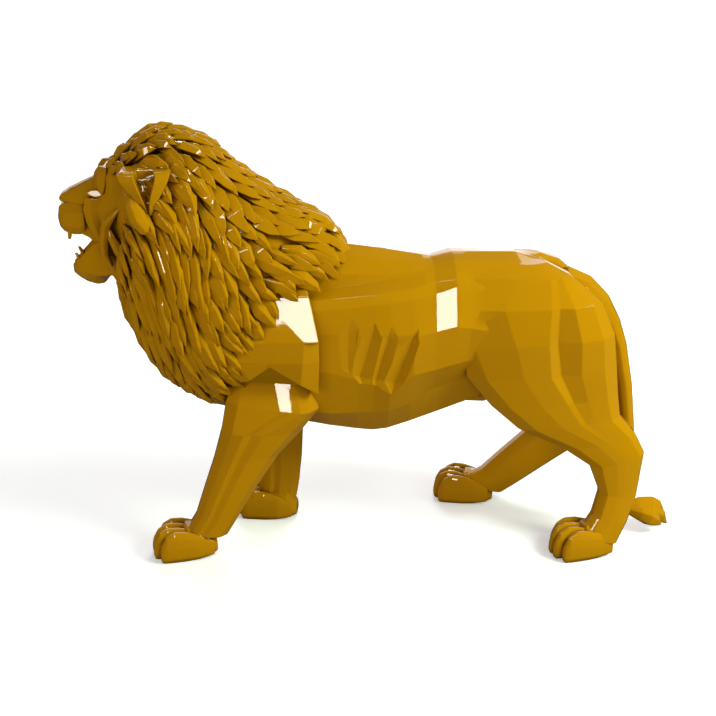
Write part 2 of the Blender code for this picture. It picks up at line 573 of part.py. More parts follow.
def centre_over_footprint(body):
    """The origin lies on the ground at the middle of the statue's length and width."""
    points = np.empty(len(body.data.vertices) * 3, dtype=np.float32)
    body.data.vertices.foreach_get("co", points)
    points = points.reshape(-1, 3)
    low, high = points.min(0), points.max(0)
    points -= ((low[0] + high[0]) / 2, (low[1] + high[1]) / 2, low[2])
    body.data.vertices.foreach_set("co", points.ravel())
    body.data.update()


def build():
    clear_scene()
    pieces = [lined_loft("trunk", TRUNK_STATIONS, TRUNK_LINES)]
    pieces.append(tube("sheath", SHEATH_PATH, SHEATH_RADII, ROUND_CORNERS))
    pieces.append(limb("foreleg", FORELEG_NEAR, FORELEG_PROFILES, NEAR))
    pieces.append(limb("foreleg", FORELEG_FAR, FORELEG_PROFILES, FAR))
    pieces.append(limb("hindleg", HINDLEG_NEAR, HINDLEG_PROFILES, NEAR))
    pieces.append(limb("hindleg", HINDLEG_FAR, HINDLEG_PROFILES, FAR))
    for side in (NEAR, FAR):
        pieces.append(limb("shoulder", SHOULDER, SHOULDER_PROFILES, side, SHOULDER_ARCH))
        for row in RIBS:
            pieces.append(rib(row, side))
    for row in PAWS:
        pieces.extend(paw_parts(row))
    pieces.extend(tail())
    pieces.extend(head())
    pieces.append(mane())
    lion = unite("lion", pieces)
    fill_pockets(lion)
    centre_over_footprint(lion)
    lion.data.materials.clear()
    lion.data.materials.append(lacquer())


build()
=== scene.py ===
"""Looks of the walking, roaring lion: a one-piece casting under thick, gloss gold lacquer.

Every form is a closed shell of rings, worked out in the figure's own metres: the lion faces -X and its
lip is at x = -0.657. All the forms are fused into the one casting, and then the grooves between the ribs
are carved out of it.
"""

import json
import math

import bmesh
import bpy
import numpy as np
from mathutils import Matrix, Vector

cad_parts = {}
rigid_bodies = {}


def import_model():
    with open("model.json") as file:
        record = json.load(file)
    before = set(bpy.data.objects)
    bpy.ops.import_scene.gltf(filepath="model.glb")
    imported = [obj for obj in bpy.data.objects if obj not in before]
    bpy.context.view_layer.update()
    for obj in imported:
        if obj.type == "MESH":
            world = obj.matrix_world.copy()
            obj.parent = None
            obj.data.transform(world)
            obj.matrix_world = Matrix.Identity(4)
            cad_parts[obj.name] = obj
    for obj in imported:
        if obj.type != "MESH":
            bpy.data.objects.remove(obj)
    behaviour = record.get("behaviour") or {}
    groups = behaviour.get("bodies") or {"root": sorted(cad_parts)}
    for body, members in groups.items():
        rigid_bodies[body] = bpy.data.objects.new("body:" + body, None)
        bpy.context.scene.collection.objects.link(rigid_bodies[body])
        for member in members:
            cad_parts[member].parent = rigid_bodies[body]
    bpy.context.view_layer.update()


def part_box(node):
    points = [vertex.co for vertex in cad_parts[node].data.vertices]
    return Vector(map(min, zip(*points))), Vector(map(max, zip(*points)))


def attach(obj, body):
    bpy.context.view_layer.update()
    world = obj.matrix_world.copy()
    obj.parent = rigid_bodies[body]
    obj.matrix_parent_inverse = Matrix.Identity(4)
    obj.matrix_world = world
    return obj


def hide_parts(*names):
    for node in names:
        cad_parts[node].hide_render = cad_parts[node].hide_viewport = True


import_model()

NEAR = -1
FAR = 1
UP = np.array((0.0, 0.0, 1.0))
# The least length that a division may have, and the range that a plain share has.
TINY = 1e-9
WHOLE = (0.0, 1.0)

# The lip's place in the figure's own metres, and from it the figure's place in the frame.
LIP_PLACE = -0.657
FIGURE_PLACE = np.array((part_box("lion")[0][0] - LIP_PLACE, 0.0, 0.0))

# How far from an edge its rounding starts, for each group of forms, and at most, as a share of the edge.
BODY_EDGE = 0.0022
PAW_EDGE = 0.0024
HEAD_EDGE = 0.0020
LOCK_EDGE = 0.0019
TOOTH_EDGE = 0.0008
EDGE_LIMIT = 0.3
# Facets that meet at a larger angle than this keep a crisp edge.
SHARP_FROM = math.radians(40.0)

# A trunk line runs from chest to rump, and its rows are place along the back, half width and height.
TRUNK_STATIONS = (-0.43, -0.34, -0.24, -0.13, -0.068, -0.005, 0.033, 0.067, 0.119, 0.146, 0.168,
                  0.215, 0.245, 0.28, 0.36, 0.43, 0.49, 0.535)
TRUNK_LINES = {
    "spine": ((-0.43, 0.0, 0.72), (-0.13, 0.0, 0.74), (0.05, 0.0, 0.714), (0.168, 0.0, 0.692),
              (0.215, 0.0, 0.702), (0.36, 0.0, 0.699), (0.43, 0.0, 0.68), (0.535, 0.0, 0.614)),
    "back": ((-0.43, 0.03, 0.705), (-0.13, 0.05, 0.722), (0.067, 0.048, 0.698), (0.146, 0.04, 0.69),
             (0.168, 0.026, 0.689), (0.215, 0.046, 0.697), (0.36, 0.052, 0.689), (0.43, 0.05, 0.664),
             (0.535, 0.034, 0.598)),
    "hollow_top": ((-0.43, 0.045, 0.66), (-0.13, 0.08, 0.68), (0.067, 0.078, 0.675), (0.119, 0.075, 0.678),
                   (0.146, 0.07, 0.68), (0.168, 0.048, 0.686), (0.215, 0.07, 0.688), (0.36, 0.08, 0.672),
                   (0.43, 0.074, 0.648), (0.535, 0.05, 0.58)),
    "hollow": ((-0.43, 0.048, 0.63), (-0.13, 0.082, 0.634), (-0.068, 0.083, 0.644), (0.033, 0.084, 0.659),
               (0.119, 0.082, 0.671), (0.146, 0.078, 0.677), (0.168, 0.062, 0.683), (0.215, 0.084, 0.68),
               (0.36, 0.098, 0.656), (0.43, 0.09, 0.632), (0.535, 0.06, 0.562)),
    "ridge": ((-0.43, 0.07, 0.61), (-0.13, 0.117, 0.628), (0.05, 0.121, 0.643), (0.135, 0.11, 0.654),
              (0.165, 0.1, 0.662), (0.215, 0.104, 0.67), (0.36, 0.114, 0.62), (0.535, 0.068, 0.54)),
    "rib_top": ((-0.43, 0.072, 0.59), (-0.13, 0.129, 0.606), (0.05, 0.132, 0.622), (0.135, 0.12, 0.63),
                (0.165, 0.1095, 0.636), (0.215, 0.114, 0.655), (0.36, 0.117, 0.59), (0.535, 0.07, 0.52)),
    "loin": ((-0.43, 0.075, 0.56), (-0.13, 0.131, 0.556), (0.05, 0.137, 0.552), (0.11, 0.14, 0.548),
             (0.165, 0.138, 0.555), (0.215, 0.144, 0.57), (0.36, 0.118, 0.54), (0.535, 0.07, 0.48)),
    "flank": ((-0.43, 0.07, 0.48), (-0.24, 0.114, 0.47), (-0.068, 0.127, 0.461), (-0.005, 0.127, 0.439),
              (0.033, 0.127, 0.43), (0.067, 0.129, 0.405), (0.119, 0.141, 0.456), (0.168, 0.135, 0.466),
              (0.215, 0.124, 0.474), (0.245, 0.114, 0.478), (0.36, 0.096, 0.47), (0.535, 0.06, 0.44)),
    "belly_edge": ((-0.43, 0.045, 0.46), (-0.34, 0.07, 0.41), (-0.24, 0.085, 0.368), (-0.068, 0.098, 0.349),
                   (0.067, 0.098, 0.352), (0.119, 0.093, 0.37), (0.168, 0.085, 0.4), (0.245, 0.076, 0.422),
                   (0.36, 0.07, 0.43), (0.535, 0.04, 0.42)),
    "keel_side": ((-0.43, 0.022, 0.44), (-0.34, 0.036, 0.38), (-0.24, 0.045, 0.335), (-0.04, 0.048, 0.292),
                  (0.05, 0.05, 0.282), (0.11, 0.048, 0.3), (0.165, 0.044, 0.318), (0.28, 0.034, 0.356),
                  (0.36, 0.03, 0.396), (0.535, 0.02, 0.41)),
    "keel": ((-0.43, 0.0, 0.435), (-0.34, 0.0, 0.372), (-0.24, 0.0, 0.326), (-0.04, 0.0, 0.284),
             (0.05, 0.0, 0.276), (0.11, 0.0, 0.292), (0.165, 0.0, 0.31), (0.28, 0.0, 0.35),
             (0.36, 0.0, 0.39), (0.535, 0.0, 0.405)),
}
SHEATH_PATH = ((0.180, 0.0, 0.356), (0.240, 0.0, 0.353), (0.300, 0.0, 0.349), (0.330, 0.0, 0.364))
SHEATH_RADII = (0.010, 0.020, 0.020, 0.006)

# The grooves between the ribs. Each groove's rows, from its top down, are the place and height of its left
# edge, its floor and its right edge, and its depth under the trunk's skin.
GROOVES = (
    ((-0.020, 0.592, -0.018, 0.591, -0.016, 0.590, 0.0005),
     (-0.051, 0.564, -0.027, 0.564, -0.002, 0.567, 0.0025),
     (-0.048, 0.515, -0.028, 0.515, -0.010, 0.518, 0.003),
     (-0.043, 0.472, -0.027, 0.469, -0.018, 0.467, 0.002),
     (-0.028, 0.459, -0.026, 0.459, -0.024, 0.459, 0.0005)),
    ((0.029, 0.580, 0.031, 0.580, 0.033, 0.580, 0.0005),
     (0.002, 0.545, 0.026, 0.544, 0.048, 0.544, 0.008),
     (-0.016, 0.491, 0.011, 0.490, 0.036, 0.489, 0.010),
     (-0.018, 0.455, -0.001, 0.448, 0.026, 0.443, 0.009),
     (-0.003, 0.433, 0.004, 0.433, 0.021, 0.432, 0.001)),
    ((0.068, 0.572, 0.070, 0.572, 0.072, 0.572, 0.0005),
     (0.048, 0.544, 0.062, 0.538, 0.083, 0.543, 0.008),
     (0.036, 0.489, 0.048, 0.485, 0.069, 0.481, 0.010),
     (0.026, 0.443, 0.036, 0.441, 0.053, 0.439, 0.008),
     (0.029, 0.429, 0.032, 0.429, 0.035, 0.429, 0.0005)),
    ((0.125, 0.565, 0.127, 0.565, 0.129, 0.565, 0.0005),
     (0.085, 0.524, 0.113, 0.527, 0.131, 0.533, 0.011),
     (0.069, 0.479, 0.095, 0.474, 0.116, 0.483, 0.013),
     (0.053, 0.439, 0.079, 0.432, 0.100, 0.439, 0.010),
     (0.067, 0.408, 0.070, 0.408, 0.073, 0.408, 0.0005)),
)
# How far a groove's cutter reaches out of the skin, and the rounding of its edges.
GROOVE_CLEARANCE = 0.012
GROOVE_EDGE = 0.0006

# A limb's rows are front place and height, rear place and height, middle of its width and half width.
FORELEG_NEAR = (
    (-0.235, 0.505, -0.125, 0.515, 0.076, 0.028),
    (-0.285, 0.445, -0.104, 0.440, 0.078, 0.034),
    (-0.304, 0.385, -0.093, 0.366, 0.088, 0.054),
    (-0.316, 0.318, -0.134, 0.312, 0.090, 0.050),
    (-0.336, 0.245, -0.188, 0.252, 0.092, 0.042),
    (-0.362, 0.168, -0.240, 0.172, 0.094, 0.038),
    (-0.383, 0.104, -0.280, 0.104, 0.096, 0.036),
    (-0.410, 0.060, -0.312, 0.050, 0.098, 0.036),
)
FORELEG_FAR = (
    (-0.225, 0.505, -0.115, 0.515, 0.080, 0.034),
    (-0.262, 0.445, -0.100, 0.440, 0.084, 0.043),
    (-0.262, 0.385, -0.093, 0.366, 0.088, 0.060),
    (-0.254, 0.318, -0.112, 0.300, 0.090, 0.050),
    (-0.246, 0.245, -0.127, 0.235, 0.092, 0.042),
    (-0.240, 0.168, -0.131, 0.160, 0.094, 0.038),
    (-0.238, 0.104, -0.138, 0.094, 0.095, 0.036),
    (-0.240, 0.060, -0.146, 0.046, 0.095, 0.036),
)
# A limb's profile, by the row it belongs to, is share of the way from front to rear and share of the
# half width.
FORELEG_PROFILES = {
    0: ((0.0, 0.2), (0.13, 0.58), (0.5, 0.92), (0.62, 0.97), (0.76, 1.03), (0.9, 0.82), (1.0, 0.3)),
    1: ((0.0, 0.2), (0.13, 0.58), (0.5, 0.93), (0.62, 0.98), (0.76, 1.04), (0.9, 0.82), (1.0, 0.3)),
    2: ((0.0, 0.22), (0.13, 0.56), (0.58, 0.96), (0.68, 0.993), (0.8, 1.033), (0.9, 0.86), (1.0, 0.3)),
    3: ((0.0, 0.3), (0.13, 0.78), (0.28, 1.0), (0.38, 0.84), (0.52, 1.0), (0.84, 0.8), (1.0, 0.3)),
}

SHOULDER = (
    (-0.230, 0.705, -0.124, 0.690, 0.050, 0.036),
    (-0.300, 0.640, -0.098, 0.642, 0.080, 0.044),
    (-0.318, 0.603, -0.088, 0.605, 0.085, 0.0523),
    (-0.330, 0.545, -0.075, 0.548, 0.088, 0.0695),
    (-0.330, 0.539, -0.075, 0.542, 0.088, 0.0695),
    (-0.322, 0.496, -0.075, 0.498, 0.088, 0.070),
    (-0.290, 0.428, -0.080, 0.408, 0.086, 0.064),
)
SHOULDER_PROFILES = {
    0: ((0.0, 0.2), (0.2, 0.84), (0.45, 0.94), (0.6, 1.0), (0.93, 1.08), (0.9, 0.3)),
    1: ((0.0, 0.2), (0.2, 0.84), (0.45, 0.94), (0.6, 0.987), (0.93, 1.126), (0.9, 0.3)),
    2: ((0.0, 0.2), (0.2, 0.82), (0.45, 0.93), (0.61, 0.991), (0.93, 1.12), (0.9, 0.3)),
    3: ((0.0, 0.2), (0.2, 0.8), (0.5, 0.93), (0.8, 1.065), (0.93, 1.108), (0.9, 0.3)),
    4: ((0.0, 0.2), (0.2, 0.8), (0.5, 0.93), (0.8, 1.06), (0.93, 0.9), (0.9, 0.3)),
    5: ((0.0, 0.2), (0.2, 0.8), (0.46, 0.92), (0.78, 1.04), (0.93, 0.86), (0.9, 0.3)),
    6: ((0.0, 0.2), (0.2, 0.84), (0.42, 0.94), (0.74, 1.0), (0.93, 0.8), (0.9, 0.3)),
}
# The shoulder's lower edge is a steep arch over the top of the foreleg, one lift for each profile point.
SHOULDER_ARCH = (0.0, 0.027, 0.066, 0.028, 0.004, 0.004)

HAUNCH_TOP = (
    (0.262, 0.684, 0.424, 0.686, 0.036, 0.026),
    (0.226, 0.668, 0.474, 0.664, 0.060, 0.045),
)
HINDLEG_NEAR = HAUNCH_TOP + (
    (0.222, 0.600, 0.548, 0.604, 0.074, 0.062),
    (0.230, 0.510, 0.579, 0.530, 0.076, 0.070),
    (0.246, 0.430, 0.588, 0.452, 0.080, 0.066),
    (0.302, 0.362, 0.594, 0.386, 0.088, 0.058),
    (0.366, 0.306, 0.600, 0.336, 0.098, 0.050),
    (0.470, 0.258, 0.638, 0.292, 0.108, 0.042),
    (0.536, 0.214, 0.660, 0.248, 0.118, 0.037),
    (0.559, 0.152, 0.646, 0.142, 0.130, 0.035),
    (0.543, 0.098, 0.626, 0.082, 0.142, 0.035),
    (0.515, 0.054, 0.602, 0.030, 0.150, 0.036),
)
HINDLEG_FAR = HAUNCH_TOP + (
    (0.220, 0.600, 0.540, 0.604, 0.074, 0.062),
    (0.220, 0.510, 0.560, 0.530, 0.076, 0.070),
    (0.232, 0.438, 0.556, 0.452, 0.080, 0.066),
    (0.272, 0.372, 0.552, 0.380, 0.088, 0.060),
    (0.345, 0.305, 0.566, 0.310, 0.096, 0.050),
    (0.420, 0.240, 0.588, 0.240, 0.104, 0.042),
    (0.428, 0.200, 0.572, 0.172, 0.112, 0.038),
    (0.372, 0.142, 0.480, 0.102, 0.122, 0.036),
    (0.322, 0.088, 0.420, 0.055, 0.130, 0.035),
    (0.268, 0.052, 0.378, 0.024, 0.136, 0.036),
)
HINDLEG_PROFILES = {
    0: ((0.0, 0.3), (0.1, 0.8), (0.5, 0.98), (0.78, 1.0), (0.84, 0.94), (0.9, 0.82), (0.95, 0.64),
        (1.0, 0.3)),
    1: ((0.0, 0.3), (0.1, 0.8), (0.5, 0.98), (0.8, 1.0), (0.86, 0.94), (0.91, 0.84), (0.96, 0.62),
        (1.0, 0.3)),
    2: ((0.0, 0.3), (0.05, 0.74), (0.3, 0.97), (0.62, 1.0), (0.68, 0.9), (0.78, 0.95), (0.92, 0.72),
        (1.0, 0.3)),
    3: ((0.0, 0.3), (0.08, 0.62), (0.34, 0.96), (0.55, 1.0), (0.61, 0.76), (0.76, 0.97), (0.91, 0.84),
        (1.0, 0.36)),
    4: ((0.0, 0.3), (0.12, 0.7), (0.36, 0.94), (0.54, 1.0), (0.61, 0.76), (0.74, 0.95), (0.9, 0.88),
        (1.0, 0.38)),
    5: ((0.0, 0.3), (0.14, 0.8), (0.38, 0.98), (0.58, 1.0), (0.63, 0.9), (0.74, 0.94), (0.9, 0.88),
        (1.0, 0.4)),
    7: ((0.0, 0.34), (0.18, 0.88), (0.45, 1.0), (0.6, 0.99), (0.66, 0.97), (0.76, 0.92), (0.9, 0.84),
        (1.0, 0.44)),
}
# How full a limb's inner side is against its outer side.
INNER_SIDE_FULLNESS = 0.90

# A paw's row is its side, its toe tip's place, its middle's distance from the mid-plane and its splay in
# degrees. A toe's and a heel's rows are shares of the paw's length, width and height.
PAWS = (
    (NEAR, -0.488, 0.098, 10.0),
    (FAR, -0.294, 0.095, 8.0),
    (NEAR, 0.446, 0.150, 12.0),
    (FAR, 0.206, 0.150, 12.0),
)
PAW_LENGTH = 0.150
PAW_WIDTH = 0.100
PAW_HEIGHT = 0.076
TOE_COUNT = 4
TOE_OVERLAP = 1.10
TOE_STAGGER = 0.10
TOE_ROWS = ((0.0, 0.34, 0.14, 0.36), (0.025, 0.70, 0.0, 0.58), (0.100, 0.94, 0.0, 0.84),
            (0.230, 1.0, 0.0, 0.98), (0.400, 0.98, 0.0, 0.96), (0.600, 0.84, 0.02, 0.84),
            (0.840, 0.34, 0.10, 0.58))
HEEL_ROWS = ((0.40, 0.76, 0.0, 0.58), (0.54, 0.90, 0.0, 1.00), (0.86, 0.80, 0.0, 0.96),
             (1.01, 0.44, 0.06, 0.46))
PAW_SECTION = ((-0.74, 0.0), (-1.0, 0.16), (-1.0, 0.50), (-0.80, 0.80), (-0.36, 1.0), (0.36, 1.0),
               (0.80, 0.80), (1.0, 0.50), (1.0, 0.16), (0.74, 0.0))

# The mane's own lines, from the face to the withers and from the throat to the chest.
MANE_TOP = ((-0.556, 0.908), (-0.534, 0.934), (-0.496, 0.968), (-0.455, 0.992), (-0.410, 1.000),
            (-0.358, 0.986), (-0.308, 0.956), (-0.255, 0.906), (-0.171, 0.848), (-0.083, 0.802),
            (-0.040, 0.762), (-0.014, 0.712))
MANE_BOTTOM = ((-0.530, 0.672), (-0.524, 0.610), (-0.500, 0.535), (-0.476, 0.480), (-0.440, 0.425),
               (-0.395, 0.380), (-0.345, 0.354), (-0.290, 0.346))
MANE_HALF_WIDTH = ((0.0, 0.094), (0.10, 0.138), (0.25, 0.180), (0.42, 0.202), (0.60, 0.198),
                   (0.80, 0.170), (1.0, 0.110))
# The powers that make the ovals' crown and sides fuller than a true oval's, how far the locks' last rows
# stay back at the sides, and how far the locks stand out of the mane's own lines.
MANE_CROWN_FULLNESS = 0.90
MANE_SIDE_FULLNESS = 0.75
MANE_SIDE_RECESS = 0.17
MANE_RELIEF = 0.0165
# The mass under the locks: how deep it lies under their roots, how far back it goes and its mesh.
MANE_SKIN_DEPTH = 0.014
MANE_SKIN_LAST_SHARE = 0.99
MANE_SKIN_ROWS = 18
MANE_SKIN_CORNERS = 40
MANE_SEED = 11

LOCK_TRIES = 22000
# Where the locks start, by degrees from the mane's top: they leave the temples and the cheeks bare.
LOCK_START = ((0.0, -0.02), (28.0, 0.02), (42.0, 0.13), (78.0, 0.15), (105.0, 0.07), (130.0, 0.0),
              (180.0, -0.02))
LOCK_LAST_SHARE = 0.965
# The skin that each lock has to itself, lengthwise and sideways.
LOCK_SPACING = 0.041
LOCK_PITCH = 0.0215
# A lock's size along the mane, against its usual one.
LOCK_GROWTH = ((0.0, 0.72), (0.12, 0.86), (0.32, 1.0))
# How much broader and longer the locks at the mane's foot are.
LOCK_FOOT_GROWTH = 0.35
LOCK_LENGTH = 0.088
LOCK_HALF_WIDTH = 0.0168
# The least and the greatest length and half width of a lock, against its usual ones, and of its added lift.
LOCK_SPREAD = (0.85, 1.25)
LOCK_LIFT_SPREAD = (-0.003, 0.004)
LOCK_CREST = 0.011
# How far a lock's crest lies from its middle, as a share of its half width: usually, how much that varies,
# how fast it sets in beside the parting, and at most.
LOCK_LEAN = 0.45
LOCK_LEAN_SPREAD = 0.18
LOCK_LEAN_ONSET = 3.0
LOCK_LEAN_LIMIT = 0.8
# How deep a lock's underside lies at its middle, and at its ends as a share of that.
LOCK_UNDERSIDE = 0.012
LOCK_UNDERSIDE_ENDS = 0.3
# How far the locks turn down from the mane's own course, by degrees from its top: a slope, 1 at 45 degrees.
LOCK_SWEEP = ((0.0, 0.0), (18.0, 0.45), (60.0, 0.50), (90.0, 0.42), (120.0, 0.05), (150.0, -0.15),
              (180.0, 0.0))
LOCK_TWIST = math.radians(7.0)
# A lock's rows: share of its length, share of its half width, share of its crest and its lift.
LOCK_SHAPE = ((0.0, 0.40, 0.40, -0.010), (0.40, 1.0, 1.0, 0.000), (0.76, 0.64, 0.95, 0.007),
              (1.0, 0.03, 0.06, 0.012))

TAIL_PATH = ((0.470, 0.0, 0.630), (0.520, 0.0, 0.606), (0.560, 0.0, 0.570), (0.592, -0.003, 0.522),
             (0.613, -0.008, 0.468), (0.633, -0.016, 0.370), (0.645, -0.026, 0.270),
             (0.654, -0.036, 0.170), (0.655, -0.043, 0.100), (0.662, -0.045, 0.062))
TAIL_RADII = (0.036, 0.037, 0.032, 0.025, 0.021, 0.019, 0.017, 0.016, 0.015, 0.015)
TUFT_LOCKS = (
    ((0.652, -0.045, 0.058), (0.682, -0.047, 0.054), (0.712, -0.048, 0.047), (0.738, -0.046, 0.034),
     (0.757, -0.044, 0.010)),
    ((0.656, -0.040, 0.060), (0.690, -0.034, 0.060), (0.716, -0.032, 0.056), (0.734, -0.032, 0.050),
     (0.750, -0.032, 0.040)),
    ((0.656, -0.055, 0.056), (0.684, -0.064, 0.050), (0.704, -0.068, 0.043), (0.720, -0.070, 0.034),
     (0.736, -0.070, 0.022)),
)
TUFT_RADII = (0.012, 0.020, 0.023, 0.018, 0.003)
ROUND_CORNERS = 8
LOCK_CORNERS = 6

# The skull, the nose and the jaw have lines of their own, from the neck to the lips.
SKULL_STATIONS = (-0.42, -0.505, -0.530, -0.548, -0.562, -0.575, -0.592, -0.620, -0.642)
SKULL_LINES = {
    "crown": ((-0.42, 0.0, 0.93), (-0.53, 0.0, 0.934), (-0.548, 0.0, 0.918), (-0.562, 0.0, 0.903),
              (-0.575, 0.0, 0.889), (-0.62, 0.0, 0.866), (-0.642, 0.0, 0.844)),
    "brow": ((-0.42, 0.05, 0.925), (-0.53, 0.046, 0.93), (-0.548, 0.04, 0.914), (-0.562, 0.03, 0.9),
             (-0.575, 0.018, 0.886), (-0.62, 0.012, 0.862), (-0.642, 0.008, 0.84)),
    "temple": ((-0.42, 0.085, 0.905), (-0.53, 0.078, 0.905), (-0.548, 0.064, 0.898), (-0.562, 0.046, 0.888),
               (-0.575, 0.026, 0.876), (-0.62, 0.018, 0.852), (-0.642, 0.01, 0.836)),
    "eye": ((-0.42, 0.1, 0.865), (-0.505, 0.098, 0.864), (-0.53, 0.086, 0.862), (-0.548, 0.068, 0.858),
            (-0.562, 0.052, 0.856), (-0.575, 0.04, 0.852), (-0.592, 0.032, 0.846), (-0.62, 0.026, 0.838),
            (-0.642, 0.014, 0.828)),
    "cheekbone": ((-0.42, 0.105, 0.825), (-0.505, 0.09, 0.822), (-0.53, 0.08, 0.822), (-0.548, 0.07, 0.822),
                  (-0.562, 0.058, 0.822), (-0.575, 0.046, 0.822), (-0.592, 0.038, 0.82),
                  (-0.62, 0.032, 0.816), (-0.642, 0.018, 0.812)),
    "cheek": ((-0.42, 0.105, 0.785), (-0.505, 0.088, 0.782), (-0.53, 0.078, 0.782), (-0.548, 0.068, 0.784),
              (-0.562, 0.056, 0.786), (-0.575, 0.044, 0.788), (-0.592, 0.036, 0.79), (-0.62, 0.032, 0.79),
              (-0.642, 0.02, 0.79)),
    "lip": ((-0.42, 0.09, 0.735), (-0.505, 0.086, 0.735), (-0.548, 0.068, 0.736), (-0.562, 0.056, 0.74),
            (-0.576, 0.048, 0.748), (-0.59, 0.038, 0.757), (-0.605, 0.036, 0.768), (-0.632, 0.03, 0.774),
            (-0.642, 0.018, 0.782)),
    "palate": ((-0.42, 0.0, 0.745), (-0.548, 0.0, 0.752), (-0.578, 0.0, 0.77), (-0.632, 0.0, 0.784),
               (-0.642, 0.0, 0.79)),
}
NOSE_STATIONS = (-0.556, -0.575, -0.600, -0.632, -0.649, -0.654)
NOSE_LINES = {
    "top": ((-0.654, 0.0, 0.846), (-0.649, 0.0, 0.8535), (-0.632, 0.0, 0.8645), (-0.6, 0.0, 0.8795),
            (-0.575, 0.0, 0.891), (-0.556, 0.0, 0.9)),
    "top_edge": ((-0.654, 0.008, 0.844), (-0.649, 0.016, 0.8505), (-0.632, 0.02, 0.8605),
                 (-0.6, 0.022, 0.8745), (-0.575, 0.022, 0.886), (-0.556, 0.022, 0.895)),
    "wing": ((-0.654, 0.012, 0.841), (-0.649, 0.021, 0.844), (-0.632, 0.028, 0.848), (-0.6, 0.037, 0.85),
             (-0.575, 0.04, 0.858), (-0.556, 0.04, 0.866)),
    "under": ((-0.654, 0.008, 0.837), (-0.649, 0.015, 0.835), (-0.632, 0.026, 0.834), (-0.6, 0.038, 0.834),
              (-0.575, 0.042, 0.838), (-0.556, 0.042, 0.84)),
    "under_mid": ((-0.654, 0.0, 0.836), (-0.649, 0.0, 0.832), (-0.632, 0.0, 0.825), (-0.6, 0.0, 0.82),
                  (-0.556, 0.0, 0.82)),
}
JAW_STATIONS = (-0.42, -0.51, -0.552, -0.566, -0.582, -0.604, -0.622, -0.634)
JAW_LINES = {
    "floor": ((-0.42, 0.0, 0.735), (-0.51, 0.0, 0.724), (-0.582, 0.0, 0.7), (-0.604, 0.0, 0.688),
              (-0.634, 0.0, 0.684)),
    "gum": ((-0.42, 0.095, 0.77), (-0.51, 0.08, 0.766), (-0.566, 0.058, 0.757), (-0.582, 0.052, 0.748),
            (-0.604, 0.042, 0.724), (-0.622, 0.03, 0.706), (-0.634, 0.014, 0.694)),
    "jaw_side": ((-0.42, 0.095, 0.69), (-0.51, 0.08, 0.686), (-0.566, 0.062, 0.678), (-0.59, 0.054, 0.677),
                 (-0.604, 0.046, 0.682), (-0.622, 0.034, 0.682), (-0.634, 0.016, 0.682)),
    "jaw_low": ((-0.42, 0.06, 0.67), (-0.552, 0.034, 0.672), (-0.566, 0.03, 0.656), (-0.59, 0.036, 0.659),
                (-0.604, 0.04, 0.665), (-0.622, 0.028, 0.671), (-0.634, 0.012, 0.676)),
    "chin": ((-0.42, 0.04, 0.662), (-0.552, 0.03, 0.668), (-0.566, 0.028, 0.65), (-0.582, 0.027, 0.648),
             (-0.604, 0.024, 0.654), (-0.622, 0.018, 0.664), (-0.634, 0.01, 0.672)),
    "chin_mid": ((-0.42, 0.0, 0.655), (-0.552, 0.0, 0.662), (-0.566, 0.0, 0.644), (-0.582, 0.0, 0.642),
                 (-0.604, 0.0, 0.648), (-0.622, 0.0, 0.66), (-0.634, 0.0, 0.67)),
}

# A muzzle pad's rows are place, distance from the mid-plane, and height of its top and its bottom. Its
# section is share of that distance and share of the height.
PAD_ROWS = ((-0.6590, 0.013, 0.812, 0.792), (-0.6550, 0.026, 0.826, 0.779), (-0.645, 0.036, 0.834, 0.769),
            (-0.625, 0.045, 0.8365, 0.7635), (-0.608, 0.050, 0.838, 0.764), (-0.598, 0.050, 0.836, 0.768),
            (-0.593, 0.034, 0.828, 0.776))
PAD_SECTION = ((-0.04, 0.92), (0.62, 1.0), (1.0, 0.70), (0.98, 0.28), (0.66, 0.0), (-0.04, 0.10))

# An eye is a flat almond that faces forwards, outwards and up. Its outline is shares of its half length
# and half height, and its layers are depth and share of the outline.
EYE_PLACE = (-0.568, 0.054, 0.861)
EYE_FACING = (-0.433, 0.844, 0.318)
EYE_OUTLINE = ((1.0, 0.0), (0.60, 0.62), (0.0, 0.95), (-0.60, 0.70), (-1.0, 0.05), (-0.55, -0.60),
               (0.0, -0.85), (0.58, -0.58))
EYE_HALF_LENGTH = 0.023
EYE_HALF_HEIGHT = 0.0095
EYE_LAYERS = ((-0.014, 0.80), (0.0, 1.0), (0.003, 0.82))

# A brow's rows are height, and place and distance from the mid-plane of its front, its crest and its rear.
BROW = (
    (0.862, -0.558, 0.062, -0.555, 0.067, -0.551, 0.072),
    (0.874, -0.567, 0.048, -0.559, 0.066, -0.547, 0.075),
    (0.890, -0.574, 0.036, -0.562, 0.063, -0.543, 0.074),
    (0.905, -0.571, 0.034, -0.560, 0.057, -0.541, 0.069),
    (0.918, -0.562, 0.036, -0.553, 0.047, -0.541, 0.058),
)
BROW_ROOT = (-0.535, 0.030)

